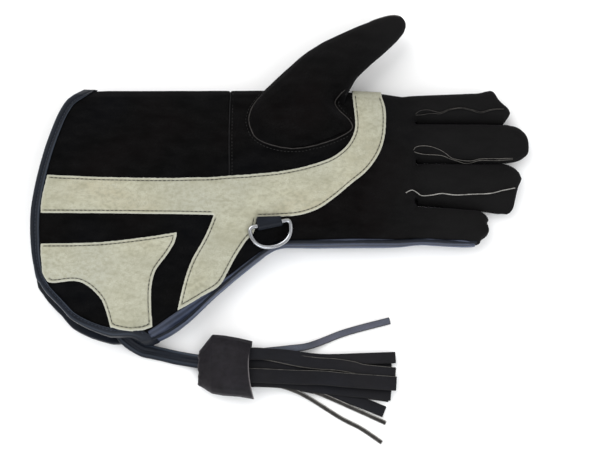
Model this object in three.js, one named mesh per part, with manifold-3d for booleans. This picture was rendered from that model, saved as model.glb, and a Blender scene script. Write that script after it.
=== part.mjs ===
// A falconer's gauntlet for the left hand, lying palm up on a flat surface with its fingers towards +X
// and its thumb towards +Y. Black suede hand and flared cuff, a set-in thumb, two cream suede overlays,
// navy leather binding and piping, a steel D-ring in a leather tab, and a tassel on a doubled thong.
// Millimetres, +Z up. The part's origin is the middle of the underside of the glove without its tassel.
import * as THREE from "three";
import { mergeVertices } from "three/addons/utils/BufferGeometryUtils.js";
import Module from "manifold-3d";

const wasm = await Module();
wasm.setup();

// Hand and cuff
const CUFF_LENGTH = 148; // from the cuff seam to the furthest point of the mouth
const PALM_LENGTH = 144; // from the cuff seam to the roots of the fingers
const PALM_WIDTH = 124.5; // laid flat, across the knuckles
const FLARE_DROP = 79; // how far the cuff's tip hangs past the little-finger edge
const PALM_THICKNESS = 36; // over the heel of the thumb
const CUFF_GAPE = 44; // height of the open mouth
const INDEX_SIDE = 16; // height of the widest line on the index-finger side
const LITTLE_SIDE = 12; // height of the widest line on the little-finger side
const LEATHER_WALL = 2.2; // shell leather
const SEAM_GAP = 0.3; // between pieces that are sewn together

// Fingers and thumb
const INDEX_LENGTH = 70;
const MIDDLE_LENGTH = 88.5;
const RING_LENGTH = 81;
const LITTLE_LENGTH = 51;
const INDEX_WIDTH = 24;
const MIDDLE_WIDTH = 31.5;
const RING_WIDTH = 28;
const LITTLE_WIDTH = 33;
const FINGER_THICKNESS = 24;
const FINGER_GAP = 1.6; // clear space between neighbouring fingers
const THUMB_LENGTH = 153; // along its own line, from the heel to the tip
const THUMB_WIDTH = 45; // across, where it leaves the palm
const THUMB_RISE = 11; // how far the thumb's heel stands above the palm
const THUMB_SPREAD = THREE.MathUtils.degToRad(41); // between the thumb and the fingers
const THUMB_SEAM_ALLOWANCE = 1.5; // the palm's edge inside the thumb's oval seam

// Overlays, binding and piping
const OVERLAY_THICKNESS = 1.3;
const BINDING_WIDTH = 5.6; // on each face of the mouth
const BINDING_THICKNESS = 1.1;
const MOUTH_LIFT = 0.4 + BINDING_THICKNESS; // the cuff's underside rises here, to rest on its binding
const PIPING_DIAMETER = 3.2;
const SEAM_INSET = 2.6; // from the little-finger outline to the piping, seen from above
const FINGERTIP_INSET = 2; // the same along the little finger
const PIPING_START = -0.36; // as a share of the cuff's length
const PIPING_STATIONS = 22;

// D-ring and its tab
const RING_WIRE = 3.2;
const RING_INNER_WIDTH = 28.5;
const RING_INNER_DEPTH = 14.5;
const RING_TURN = THREE.MathUtils.degToRad(13); // the bar's slant, seen from above
const TAB_WIDTH = 19;
const TAB_LENGTH = 19;
const TAB_LEATHER = 1.6;
const TAB_SINK = 4; // its underside follows the palm down this far
const BAR_CLEARANCE = 0.3;
const RING_BAR = [0.208, -0.745]; // the middle of the bar: shares along and across the glove
const RING_CLEARANCE = SEAM_GAP + OVERLAY_THICKNESS + 0.3; // between the ring and the palm
const RING_STEPS = 30;
const RIM_STEPS = 24; // places where the ring is lifted clear of the palm

// Tassel
const THONG_WIDTH = 9.4;
const THONG_THICKNESS = 4.8;
const COLLAR_LENGTH = 43;
const COLLAR_WIDTH = 46;
const COLLAR_THICKNESS = 24;
const COLLAR_WALL = 1.8;
const FRINGE_LENGTH = 106;
const FRINGE_SPREAD = 36; // width of the bundle where it leaves the collar
const STRIP_WIDTH = 9.5;
const STRIP_THICKNESS = 2;
const STRIP_GAP = 0.4;
const THONG_STEPS = 16;

const SUEDE_BLACK = { color: 0x16130f, roughness: 0.95, metalness: 0 };
const SUEDE_CREAM = { color: 0xcac4ac, roughness: 0.92, metalness: 0 };
const LEATHER_NAVY = { color: 0x171c2b, roughness: 0.5, metalness: 0 };
const NICKEL = { color: 0xb9bcc0, roughness: 0.22, metalness: 1 };

const CROWN_POWER = 2.4;
const WELD = 0.01; // slivers smaller than this are merged away

// A table's "along" is a share of the cuff's length behind the cuff seam, and of the palm's length in
// front of it.
function stationX(along) {
  return along * (along < 0 ? CUFF_LENGTH : PALM_LENGTH);
}

// A table's "across" is 1 on the index edge, -1 on the little-finger edge and -2 at the tip of the flare.
function acrossY(across) {
  const half = PALM_WIDTH / 2;
  return across >= -1 ? across * half : -half + (across + 1) * FLARE_DROP;
}

function planPoint([along, across]) {
  return new THREE.Vector2(stationX(along), acrossY(across));
}

// A solid from any closed geometry, turned the right way out.
function solid(geometry) {
  const bare = new THREE.BufferGeometry();
  const source = geometry.index ? geometry.toNonIndexed() : geometry;
  bare.setAttribute("position", source.getAttribute("position"));
  const merged = mergeVertices(bare, 1e-3);
  const triVerts = new Uint32Array(merged.index.array);
  const vertProperties = new Float32Array(merged.attributes.position.array);
  const made = new wasm.Manifold(new wasm.Mesh({ numProp: 3, vertProperties, triVerts }));
  if (made.volume() >= 0) return made;
  for (let i = 0; i < triVerts.length; i += 3) {
    [triVerts[i + 1], triVerts[i + 2]] = [triVerts[i + 2], triVerts[i + 1]];
  }
  return new wasm.Manifold(new wasm.Mesh({ numProp: 3, vertProperties, triVerts }));
}

function geometryOf(manifold) {
  const mesh = manifold.simplify(WELD).getMesh();
  const geometry = new THREE.BufferGeometry();
  geometry.setAttribute("position", new THREE.BufferAttribute(mesh.vertProperties, 3));
  geometry.setIndex(new THREE.BufferAttribute(mesh.triVerts, 1));
  return geometry;
}

// A closed skin over rings of points; open lofts get a cap on each end and closed ones join up.
function skin(rings, closed = false) {
  const count = rings[0].length;
  const points = rings.flat();
  const faces = [];
  const last = closed ? rings.length : rings.length - 1;
  for (let i = 0; i < last; i++) {
    const here = i * count;
    const next = ((i + 1) % rings.length) * count;
    for (let k = 0; k < count; k++) {
      const step = (k + 1) % count;
      faces.push(here + k, here + step, next + step, here + k, next + step, next + k);
    }
  }
  if (!closed) {
    [0, rings.length - 1].forEach((end) => {
      const middle = points.length;
      points.push(rings[end].reduce((sum, p) => sum.add(p), new THREE.Vector3()).divideScalar(count));
      for (let k = 0; k < count; k++) {
        const [a, b] = [end * count + k, end * count + ((k + 1) % count)];
        faces.push(...(end === 0 ? [middle, b, a] : [middle, a, b]));
      }
    });
  }
  return solid(new THREE.BufferGeometry().setFromPoints(points).setIndex(faces));
}

// One cross-section of a leather stall: a crowned upper side, a flat underside and round lower corners.
// The rib runs from its right plan point to its left one. Growth moves the whole outline outwards.
function sectionRing(rib, growth, crownSteps, cornerSteps) {
  const along = rib.left.clone().sub(rib.right);
  const half = along.length() / 2 + growth;
  const direction = along.normalize();
  const middle = rib.left.clone().add(rib.right).multiplyScalar(0.5);
  const low = rib.low - growth;
  const high = rib.high + growth;
  const sideAt = (share) => THREE.MathUtils.lerp(rib.rightSide, rib.leftSide, (share + 1) / 2);
  const ring = [];
  const add = (across, z) => {
    ring.push(new THREE.Vector3(middle.x + direction.x * across, middle.y + direction.y * across, z));
  };
  for (let i = 0; i <= crownSteps; i++) {
    const angle = (Math.PI * i) / crownSteps;
    const cosine = i * 2 === crownSteps ? 0 : Math.cos(angle);
    const share = Math.sign(cosine) * Math.abs(cosine) ** (2 / CROWN_POWER);
    const rise = Math.max(0, i === crownSteps ? 0 : Math.sin(angle)) ** (2 / CROWN_POWER);
    add(share * half, THREE.MathUtils.lerp(sideAt(share), high, rise));
  }
  [-1, 1].forEach((side) => {
    const level = sideAt(side);
    const corner = Math.min(1.1 * (level - low), 0.8 * half);
    for (let i = 1; i <= cornerSteps; i++) {
      const step = side < 0 ? i : cornerSteps + 1 - i;
      const angle = (Math.PI / 2) * (step / cornerSteps);
      add(side * (half - corner * (1 - Math.cos(angle))), level - (level - low) * Math.sin(angle));
    }
  });
  return ring;
}

function loft(ribs, growth, crownSteps, cornerSteps) {
  return skin(ribs.map((rib) => sectionRing(rib, growth, crownSteps, cornerSteps)));
}

// A plan outline made of stretches: two points are a straight line, more points a smooth curve.
function outline(stretches, stepsPerCurve = 12) {
  const points = stretches.flatMap((stretch) => {
    const corners = stretch.map((point) => (point.isVector2 ? point : planPoint(point)));
    if (corners.length === 2) return [corners[0]];
    return new THREE.SplineCurve(corners).getPoints(stepsPerCurve).slice(0, -1);
  });
  const lastStretch = stretches[stretches.length - 1];
  const lastPoint = lastStretch[lastStretch.length - 1];
  const end = lastPoint.isVector2 ? lastPoint : planPoint(lastPoint);
  if (end.distanceTo(points[0]) > 0.5) points.push(end);
  return points;
}

function prism(points, low, high) {
  const geometry = new THREE.ExtrudeGeometry(new THREE.Shape(points), {
    depth: high - low,
    bevelEnabled: false,
    curveSegments: 1,
  });
  return solid(geometry.translate(0, 0, low));
}

// Hand and cuff form: one row for each section. "thick" is a share of the mouth's gape behind the cuff
// seam and of the palm's thickness in front of it, and the sides are shares of their named heights.
const BODY_SECTIONS = [
  { along: -1.16, index: 1, little: -2.09, thick: 1, indexSide: 0.9, littleSide: 0.8, lift: 1 },
  { along: -0.92, index: 1, little: -2.07, thick: 1, indexSide: 0.9, littleSide: 0.8, lift: 1 },
  { along: -0.72, index: 1, little: -2.045, thick: 0.98, indexSide: 0.92, littleSide: 0.8, lift: 1 },
  { along: -0.52, index: 1, little: -2, thick: 0.95, indexSide: 0.95, littleSide: 0.8, lift: 1 },
  { along: -0.39, index: 1, little: -1.95, thick: 0.92, indexSide: 0.97, littleSide: 0.8, lift: 0.85 },
  { along: -0.29, index: 1, little: -1.86, thick: 0.9, indexSide: 1, littleSide: 0.8, lift: 0.45 },
  { along: -0.19, index: 1, little: -1.71, thick: 0.87, indexSide: 1, littleSide: 0.85, lift: 0.1 },
  { along: -0.07, index: 1, little: -1.48, thick: 0.84, indexSide: 1, littleSide: 0.9, lift: 0 },
  { along: 0.03, index: 1, little: -1.32, thick: 0.985, indexSide: 1, littleSide: 0.95, lift: 0 },
  { along: 0.13, index: 1, little: -1.17, thick: 0.95, indexSide: 1, littleSide: 1, lift: 0 },
  { along: 0.21, index: 1, little: -1.05, thick: 0.92, indexSide: 1, littleSide: 1, lift: 0 },
  { along: 0.265, index: 1, little: -0.997, thick: 0.91, indexSide: 1, littleSide: 1, lift: 0 },
  { along: 0.33, index: 1, little: -0.993, thick: 0.93, indexSide: 1, littleSide: 1, lift: 0 },
  { along: 0.45, index: 0.995, little: -1, thick: 0.97, indexSide: 1, littleSide: 1, lift: 0 },
  { along: 0.65, index: 0.99, little: -0.995, thick: 1, indexSide: 1, littleSide: 1, lift: 0 },
  { along: 0.83, index: 0.98, little: -0.99, thick: 0.88, indexSide: 0.9, littleSide: 0.95, lift: 0 },
  { along: 0.93, index: 0.955, little: -0.98, thick: 0.77, indexSide: 0.8, littleSide: 0.9, lift: 0 },
  { along: 0.985, index: 0.93, little: -0.96, thick: 0.66, indexSide: 0.75, littleSide: 0.9, lift: 1.2 },
  { along: 1.005, index: 0.9, little: -0.93, thick: 0.5, indexSide: 0.7, littleSide: 0.88, lift: 2.6 },
];
const BODY_CROWN_STEPS = 14;
const BODY_CORNER_STEPS = 3;

const bodyRibs = BODY_SECTIONS.map((row) => ({
  right: planPoint([row.along, row.little]),
  left: planPoint([row.along, row.index]),
  low: row.lift * MOUTH_LIFT,
  high: row.thick * (row.along < 0 ? CUFF_GAPE : PALM_THICKNESS),
  leftSide: row.indexSide * INDEX_SIDE,
  rightSide: row.littleSide * LITTLE_SIDE,
}));

function bodyForm(growth) {
  return loft(bodyRibs, growth, BODY_CROWN_STEPS, BODY_CORNER_STEPS);
}

// The body's section at any x, between the two rows around it.
function bodyRibAt(x) {
  const next = Math.max(1, bodyRibs.findIndex((rib) => rib.left.x >= x));
  const [a, b] = [bodyRibs[next - 1], bodyRibs[next]];
  const share = (x - a.left.x) / (b.left.x - a.left.x);
  const mix = (key) => THREE.MathUtils.lerp(a[key], b[key], share);
  return {
    right: a.right.clone().lerp(b.right, share),
    left: a.left.clone().lerp(b.left, share),
    low: mix("low"),
    high: mix("high"),
    leftSide: mix("leftSide"),
    rightSide: mix("rightSide"),
  };
}

// A point of the palm-side surface above a plan point.
function surfacePoint(x, y) {
  const rib = bodyRibAt(x);
  const half = (rib.left.y - rib.right.y) / 2;
  const share = THREE.MathUtils.clamp((y - (rib.left.y + rib.right.y) / 2) / half, -1, 1);
  const side = THREE.MathUtils.lerp(rib.rightSide, rib.leftSide, (share + 1) / 2);
  const rise = (1 - Math.abs(share) ** CROWN_POWER) ** (1 / CROWN_POWER);
  return new THREE.Vector3(x, y, THREE.MathUtils.lerp(side, rib.high, rise));
}

// Finger form: shares of the finger's own length and half width, from inside the palm to the tip.
const FINGER_SECTIONS = [
  { along: -0.3, left: 0.8, right: 0.8, thick: 0.86, lift: 0.1 },
  { along: -0.06, left: 0.93, right: 0.93, thick: 1, lift: 0 },
  { along: 0.16, left: 0.96, right: 0.96, thick: 1, lift: 0 },
  { along: 0.42, left: 0.98, right: 0.98, thick: 0.98, lift: 0 },
  { along: 0.66, left: 1, right: 1, thick: 0.94, lift: 0 },
  { along: 0.84, left: 0.97, right: 0.97, thick: 0.87, lift: 0.02 },
  { along: 0.93, left: 0.85, right: 0.85, thick: 0.76, lift: 0.07 },
  { along: 0.98, left: 0.64, right: 0.64, thick: 0.64, lift: 0.15 },
  { along: 1, left: 0.4, right: 0.4, thick: 0.52, lift: 0.24 },
];
const FINGER_CROWN_STEPS = 8;
const FINGER_CORNER_STEPS = 2;

// "root" and "tip" are the middle of the finger across the palm, and "slant" is how far the tip's
// index-side corner lies behind its other corner, as a share of the finger's width.
const FINGERS = [
  { name: "index", root: 0.79, tip: 0.835, length: INDEX_LENGTH, width: INDEX_WIDTH, slant: 0.5, thick: 1 },
  { name: "middle", root: 0.345, tip: 0.315, length: MIDDLE_LENGTH, width: MIDDLE_WIDTH, slant: 0, thick: 1 },
  { name: "ring", root: -0.16, tip: -0.2, length: RING_LENGTH, width: RING_WIDTH, slant: -0.22, thick: 0.98 },
  {
    name: "little", root: -0.71, tip: -0.735, length: LITTLE_LENGTH, width: LITTLE_WIDTH,
    slant: -0.42, thick: 0.93,
  },
];

// A finger's ribs. Its width gives way to the gap that its neighbours need.
function fingerRibs(finger, growth) {
  const half = (finger.width - FINGER_GAP) / 2;
  return FINGER_SECTIONS.map((row) => {
    const x = PALM_LENGTH + row.along * (finger.length + growth);
    const y = acrossY(THREE.MathUtils.lerp(finger.root, finger.tip, row.along));
    const lag = finger.slant * half * THREE.MathUtils.smoothstep(row.along, 0.6, 1);
    const height = row.thick * finger.thick * FINGER_THICKNESS;
    const low = row.lift * FINGER_THICKNESS;
    const side = low + 0.45 * (height - low);
    return {
      left: new THREE.Vector2(x - lag, y + row.left * half),
      right: new THREE.Vector2(x + lag, y - row.right * half),
      low,
      high: height,
      leftSide: side,
      rightSide: side,
    };
  });
}

function fingerForm(finger, growth) {
  return loft(fingerRibs(finger, growth), growth, FINGER_CROWN_STEPS, FINGER_CORNER_STEPS);
}

// Thumb form: each row is a rib across the thumb. "run" and "across" are shares of the thumb's length
// and width along and across a line that leaves the heel at THUMB_SPREAD degrees. Heights are shares of
// the palm's thickness and the thumb's rise together, and "side" stands for both sides' heights.
const THUMB_HEEL = [0.12, 0.36];
const THUMB_UNDERSIDE = 0.3; // where a row gives no "low"
const THUMB_SECTIONS = [
  { leftRun: 0.034, left: 0.25, rightRun: 0.007, right: 0.04, leftSide: 0.64, rightSide: 0.66, high: 0.76 },
  { leftRun: 0.06, left: 0.33, rightRun: 0.005, right: -0.15, leftSide: 0.62, rightSide: 0.67, high: 0.84 },
  { leftRun: 0.094, left: 0.404, rightRun: 0.02, right: -0.32, leftSide: 0.58, rightSide: 0.68, high: 0.9 },
  { leftRun: 0.14, left: 0.435, rightRun: 0.064, right: -0.526, leftSide: 0.54, rightSide: 0.68, high: 0.96 },
  { leftRun: 0.19, left: 0.46, rightRun: 0.16, right: -0.781, leftSide: 0.52, rightSide: 0.68, high: 1 },
  { leftRun: 0.25, left: 0.468, rightRun: 0.281, right: -0.967, leftSide: 0.52, rightSide: 0.68, high: 1 },
  { leftRun: 0.32, left: 0.477, rightRun: 0.39, right: -1.069, leftSide: 0.53, rightSide: 0.67, high: 0.99 },
  { leftRun: 0.37, left: 0.48, rightRun: 0.43, right: -0.997, leftSide: 0.54, rightSide: 0.66, high: 0.98 },
  { leftRun: 0.41, left: 0.487, rightRun: 0.445, right: -0.817, leftSide: 0.55, rightSide: 0.64, high: 0.97 },
  { leftRun: 0.45, left: 0.495, rightRun: 0.455, right: -0.64, leftSide: 0.55, rightSide: 0.6, high: 0.95 },
  { leftRun: 0.51, left: 0.49, rightRun: 0.51, right: -0.52, leftSide: 0.55, rightSide: 0.57, high: 0.93 },
  { leftRun: 0.6, left: 0.45, rightRun: 0.6, right: -0.42, side: 0.55, high: 0.89, low: 0.29 },
  { leftRun: 0.7, left: 0.365, rightRun: 0.7, right: -0.39, side: 0.53, high: 0.85, low: 0.28 },
  { leftRun: 0.8, left: 0.28, rightRun: 0.8, right: -0.385, side: 0.5, high: 0.8, low: 0.27 },
  { leftRun: 0.89, left: 0.18, rightRun: 0.9, right: -0.36, side: 0.48, high: 0.74, low: 0.27 },
  { leftRun: 0.955, left: 0.09, rightRun: 0.96, right: -0.32, side: 0.47, high: 0.68, low: 0.29 },
  { leftRun: 0.995, left: 0.01, rightRun: 0.99, right: -0.26, side: 0.46, high: 0.61, low: 0.34 },
  { leftRun: 1.008, left: -0.05, rightRun: 1.005, right: -0.2, side: 0.45, high: 0.54, low: 0.38 },
];
const THUMB_CROWN_STEPS = 10;
const THUMB_CORNER_STEPS = 3;

// Positive growth also lengthens the thumb by as much at each end, and negative growth shortens it.
function thumbForm(growth) {
  const heel = planPoint(THUMB_HEEL);
  const forward = new THREE.Vector2(1, 0).rotateAround(new THREE.Vector2(), THUMB_SPREAD);
  const sideways = new THREE.Vector2(0, 1).rotateAround(new THREE.Vector2(), THUMB_SPREAD);
  const at = (run, across) => {
    const length = run * THUMB_LENGTH + growth * (2 * run - 1);
    return heel.clone().addScaledVector(forward, length).addScaledVector(sideways, across * THUMB_WIDTH);
  };
  const top = PALM_THICKNESS + THUMB_RISE;
  const ribs = THUMB_SECTIONS.map((row) => ({
    left: at(row.leftRun, row.left),
    right: at(row.rightRun, row.right),
    low: (row.low ?? THUMB_UNDERSIDE) * top,
    high: row.high * top,
    leftSide: (row.leftSide ?? row.side) * top,
    rightSide: (row.rightSide ?? row.side) * top,
  }));
  return loft(ribs, growth, THUMB_CROWN_STEPS, THUMB_CORNER_STEPS);
}

// The cuff's mouth, seen from above: each row is a point of its palm-side edge and of its back edge.
const MOUTH_LINE = [
  { frontAlong: -0.66, frontAcross: 1.3, backAlong: -0.68, backAcross: 1.3 },
  { frontAlong: -0.745, frontAcross: 1, backAlong: -0.762, backAcross: 1 },
  { frontAlong: -0.849, frontAcross: 0.773, backAlong: -0.868, backAcross: 0.773 },
  { frontAlong: -0.915, frontAcross: 0.373, backAlong: -0.935, backAcross: 0.373 },
  { frontAlong: -0.966, frontAcross: -0.137, backAlong: -0.986, backAcross: -0.14 },
  { frontAlong: -0.996, frontAcross: -0.725, backAlong: -1.016, backAcross: -0.725 },
  { frontAlong: -0.981, frontAcross: -1.218, backAlong: -1, backAcross: -1.26 },
  { frontAlong: -0.921, frontAcross: -1.492, backAlong: -0.934, backAcross: -1.51 },
  { frontAlong: -0.784, frontAcross: -1.745, backAlong: -0.797, backAcross: -1.775 },
  { frontAlong: -0.609, frontAcross: -1.86, backAlong: -0.62, backAcross: -1.89 },
  { frontAlong: -0.45, frontAcross: -1.89, backAlong: -0.45, backAcross: -1.92 },
  { frontAlong: -0.25, frontAcross: -2.12, backAlong: -0.25, backAcross: -2.12 },
];
const MOUTH_STEPS = 18;
const FRONT_LEVEL = 0.864 * CUFF_GAPE; // the height that its front points are at
const BACK_LEVEL = 0.045 * CUFF_GAPE;

// A line of plan points moved sideways, to the right of its own direction.
function offsetLine(points, distance) {
  return points.map((point, i) => {
    const before = points[Math.max(0, i - 1)];
    const after = points[Math.min(points.length - 1, i + 1)];
    const along = after.clone().sub(before).normalize();
    return new THREE.Vector2(point.x + along.y * distance, point.y - along.x * distance);
  });
}

// Everything on the hand's side of the mouth, with the mouth moved outwards by "reach".
function mouthSide(reach) {
  const front = new THREE.SplineCurve(MOUTH_LINE.map((row) => planPoint([row.frontAlong, row.frontAcross])));
  const back = new THREE.SplineCurve(MOUTH_LINE.map((row) => planPoint([row.backAlong, row.backAcross])));
  const [frontLine, backLine] = [front, back].map((line) => offsetLine(line.getPoints(MOUTH_STEPS), reach));
  const farX = PALM_LENGTH + 2 * MIDDLE_LENGTH;
  const rings = [-CUFF_GAPE, 2 * CUFF_GAPE].map((level) => {
    const share = (level - BACK_LEVEL) / (FRONT_LEVEL - BACK_LEVEL);
    const line = backLine.map((point, i) => point.clone().lerp(frontLine[i], share));
    const corners = [
      new THREE.Vector2(farX, line[line.length - 1].y - PALM_WIDTH),
      new THREE.Vector2(farX, line[0].y + PALM_WIDTH),
    ];
    const ends = [line[line.length - 1].clone(), line[0].clone()];
    ends[0].y -= PALM_WIDTH;
    ends[1].y += PALM_WIDTH;
    return [...line, ends[0], ...corners, ends[1]].map((point) => new THREE.Vector3(point.x, point.y, level));
  });
  return skin(rings);
}

// The part of a band that lies between two growths of the glove's form.
function layer(inner, outer) {
  return bodyForm(outer).subtract(bodyForm(inner));
}

function handForm(growth) {
  return FINGERS.reduce((sum, finger) => sum.add(fingerForm(finger, growth)), bodyForm(growth));
}

const shell = handForm(0).subtract(handForm(-LEATHER_WALL));
const thumbHole = thumbForm(-LEATHER_WALL - THUMB_SEAM_ALLOWANCE);

function handShell() {
  return shell.trimByPlane([1, 0, 0], SEAM_GAP / 2).subtract(thumbHole);
}

function gauntletCuff() {
  return shell.trimByPlane([-1, 0, 0], SEAM_GAP / 2).intersect(mouthSide(0));
}

function thumbStall() {
  return thumbForm(0).subtract(thumbForm(-LEATHER_WALL)).subtract(bodyForm(SEAM_GAP));
}

// Leather folded over the mouth's edge, seen on both faces of the wall.
function cuffBinding() {
  const outside = SEAM_GAP + BINDING_THICKNESS;
  const folded = layer(-LEATHER_WALL - outside, outside);
  const band = mouthSide(outside).subtract(mouthSide(-BINDING_WIDTH));
  const wall = layer(-LEATHER_WALL - SEAM_GAP, SEAM_GAP).intersect(mouthSide(SEAM_GAP));
  return folded.intersect(band).subtract(wall);
}

const STRAP_OUTLINE = [
  [
    [-1.06, -0.2], [-0.664, -0.231], [-0.406, -0.22], [-0.148, -0.214], [0.06, -0.169],
    [0.219, -0.13], [0.353, -0.085], [0.51, 0.008], [0.595, 0.132], [0.657, 0.3], [0.671, 0.442],
    [0.669, 0.702], [0.662, 0.892], [0.66, 1.06],
  ],
  [[0.66, 1.06], [0.82, 1.06]],
  [
    [0.82, 1.06], [0.824, 0.903], [0.841, 0.712], [0.84, 0.451], [0.825, 0.259], [0.784, 0.034],
    [0.709, -0.17], [0.572, -0.434], [0.511, -0.548], [0.406, -0.649], [0.273, -0.68],
    [0.151, -0.699],
  ],
  [
    [0.151, -0.699], [0.135, -0.882], [0.099, -0.972], [0.044, -1.131], [-0.004, -1.289],
    [-0.034, -1.383],
  ],
  [[-0.034, -1.383], [-0.154, -1.547], [-0.258, -1.668]],
  [[-0.258, -1.668], [-0.222, -1.393], [-0.185, -1.197], [-0.118, -0.951], [-0.074, -0.686]],
  [[-0.074, -0.686], [-1.06, -0.696]],
];
const PATCH_OUTLINE = [
  [[-1.06, -1.049], [-0.799, -1.049], [-0.624, -1.032], [-0.447, -0.986], [-0.259, -0.911]],
  [
    [-0.259, -0.911], [-0.271, -1.032], [-0.314, -1.166], [-0.365, -1.301], [-0.385, -1.453],
    [-0.387, -1.62], [-0.38, -1.853],
  ],
  [[-0.38, -1.853], [-0.437, -1.877], [-0.524, -1.873], [-0.581, -1.853]],
  [
    [-0.581, -1.853], [-0.605, -1.72], [-0.632, -1.602], [-0.678, -1.503], [-0.731, -1.436],
    [-0.793, -1.416], [-1.06, -1.395],
  ],
  [[-1.06, -1.395], [-1.06, -1.049]],
];

// A piece of suede sewn flat on the palm side of the glove.
function overlay(stretches) {
  const sheet = layer(SEAM_GAP, SEAM_GAP + OVERLAY_THICKNESS);
  const cut = prism(outline(stretches, 12), INDEX_SIDE / 2, 3 * PALM_THICKNESS);
  return sheet.intersect(cut).intersect(mouthSide(-BINDING_WIDTH - SEAM_GAP));
}

function palmStrap() {
  return overlay(STRAP_OUTLINE).subtract(thumbForm(SEAM_GAP)).subtract(pipingForm(SEAM_GAP));
}

function cuffPatch() {
  return overlay(PATCH_OUTLINE);
}

// A point on a rib's crown, "inset" millimetres in from its right end.
function crownPoint(rib, inset) {
  const across = rib.left.clone().sub(rib.right);
  const width = across.length();
  const share = THREE.MathUtils.clamp((2 * inset) / width - 1, -1, 1);
  const side = THREE.MathUtils.lerp(rib.rightSide, rib.leftSide, inset / width);
  const rise = (1 - Math.abs(share) ** CROWN_POWER) ** (1 / CROWN_POWER);
  const plan = rib.right.clone().lerp(rib.left, inset / width);
  return new THREE.Vector3(plan.x, plan.y, THREE.MathUtils.lerp(side, rib.high, rise));
}

// Piping in the side seam, from the tip of the flare to the tip of the little finger.
function pipingForm(growth) {
  const little = FINGERS[FINGERS.length - 1];
  const start = stationX(PIPING_START);
  const stations = Array.from({ length: PIPING_STATIONS + 1 }, (_, i) => {
    const x = THREE.MathUtils.lerp(start, 0.93 * PALM_LENGTH, i / PIPING_STATIONS);
    return crownPoint(bodyRibAt(x), SEAM_INSET);
  });
  const fingertip = fingerRibs(little, 0).slice(2, -2).map((rib) => crownPoint(rib, FINGERTIP_INSET));
  const path = new THREE.CatmullRomCurve3([...stations, ...fingertip]);
  return extrudeAlong(path, circle(PIPING_DIAMETER / 2 + growth, 6), 40);
}

function sidePiping() {
  return pipingForm(0)
    .subtract(bodyForm(SEAM_GAP))
    .subtract(fingerForm(FINGERS[FINGERS.length - 1], SEAM_GAP))
    .intersect(mouthSide(-BINDING_WIDTH - SEAM_GAP));
}

function circle(radius, sides) {
  return Array.from({ length: sides }, (_, i) => {
    const angle = (2 * Math.PI * (i + 0.5)) / sides;
    return new THREE.Vector2(radius * Math.cos(angle), radius * Math.sin(angle));
  });
}

function extrudeAlong(path, section, steps) {
  const settings = { steps, extrudePath: path, curveSegments: 1 };
  return solid(new THREE.ExtrudeGeometry(new THREE.Shape(section), settings));
}

// The ring's own frame: its bar runs along X through the origin, and its bow hangs towards -Y. The ring
// slopes as the palm does under it, and is lifted until its wire is clear of the palm all round.
function ringFrame() {
  const depth = RING_INNER_DEPTH + RING_WIRE;
  const halfWidth = (RING_INNER_WIDTH + RING_WIRE) / 2;
  const bar = planPoint(RING_BAR);
  const toPlan = (x, y) => new THREE.Vector2(x, y).rotateAround(new THREE.Vector2(), RING_TURN).add(bar);
  const under = (x, y) => {
    const plan = toPlan(x, y);
    return surfacePoint(plan.x, plan.y);
  };
  const along = under(halfWidth, -depth / 2).sub(under(-halfWidth, -depth / 2)).normalize();
  const away = under(0, 0).sub(under(0, -depth / 2)).normalize();
  const up = new THREE.Vector3().crossVectors(along, away).normalize();
  away.crossVectors(up, along).normalize();
  const place = under(0, -depth / 2);
  const rim = Array.from({ length: RIM_STEPS }, (_, i) => {
    const angle = (2 * Math.PI * i) / RIM_STEPS;
    return under(halfWidth * Math.cos(angle), (depth / 2) * (Math.sin(angle) - 1));
  });
  const lift = Math.max(...rim.map((point) => point.sub(place).dot(up)));
  place.addScaledVector(up, lift + RING_WIRE / 2 + RING_CLEARANCE).addScaledVector(away, depth / 2);
  return new THREE.Matrix4().makeBasis(along, away, up).setPosition(place);
}

function inRingFrame(manifold) {
  return manifold.transform(ringFrame().elements);
}

function dRing() {
  const half = (RING_INNER_WIDTH + RING_WIRE) / 2;
  const depth = RING_INNER_DEPTH + RING_WIRE;
  const corner = RING_WIRE;
  const middle = new THREE.Path();
  middle.moveTo(-half + corner, 0);
  middle.lineTo(half - corner, 0);
  middle.quadraticCurveTo(half, 0, half, -corner);
  middle.bezierCurveTo(half, -depth * 0.75, half * 0.55, -depth, 0, -depth);
  middle.bezierCurveTo(-half * 0.55, -depth, -half, -depth * 0.75, -half, -corner);
  middle.quadraticCurveTo(-half, 0, -half + corner, 0);
  const points = middle.getSpacedPoints(RING_STEPS).slice(0, -1);
  const wire = points.map((point, i) => {
    const after = points[(i + 1) % points.length];
    const before = points[(i + points.length - 1) % points.length];
    const out = after.clone().sub(before).normalize().rotateAround(new THREE.Vector2(), -Math.PI / 2);
    return circle(RING_WIRE / 2, 8).map((p) => {
      return new THREE.Vector3(point.x + out.x * p.x, point.y + out.y * p.x, p.y);
    });
  });
  return inRingFrame(skin(wire, true));
}

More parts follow.
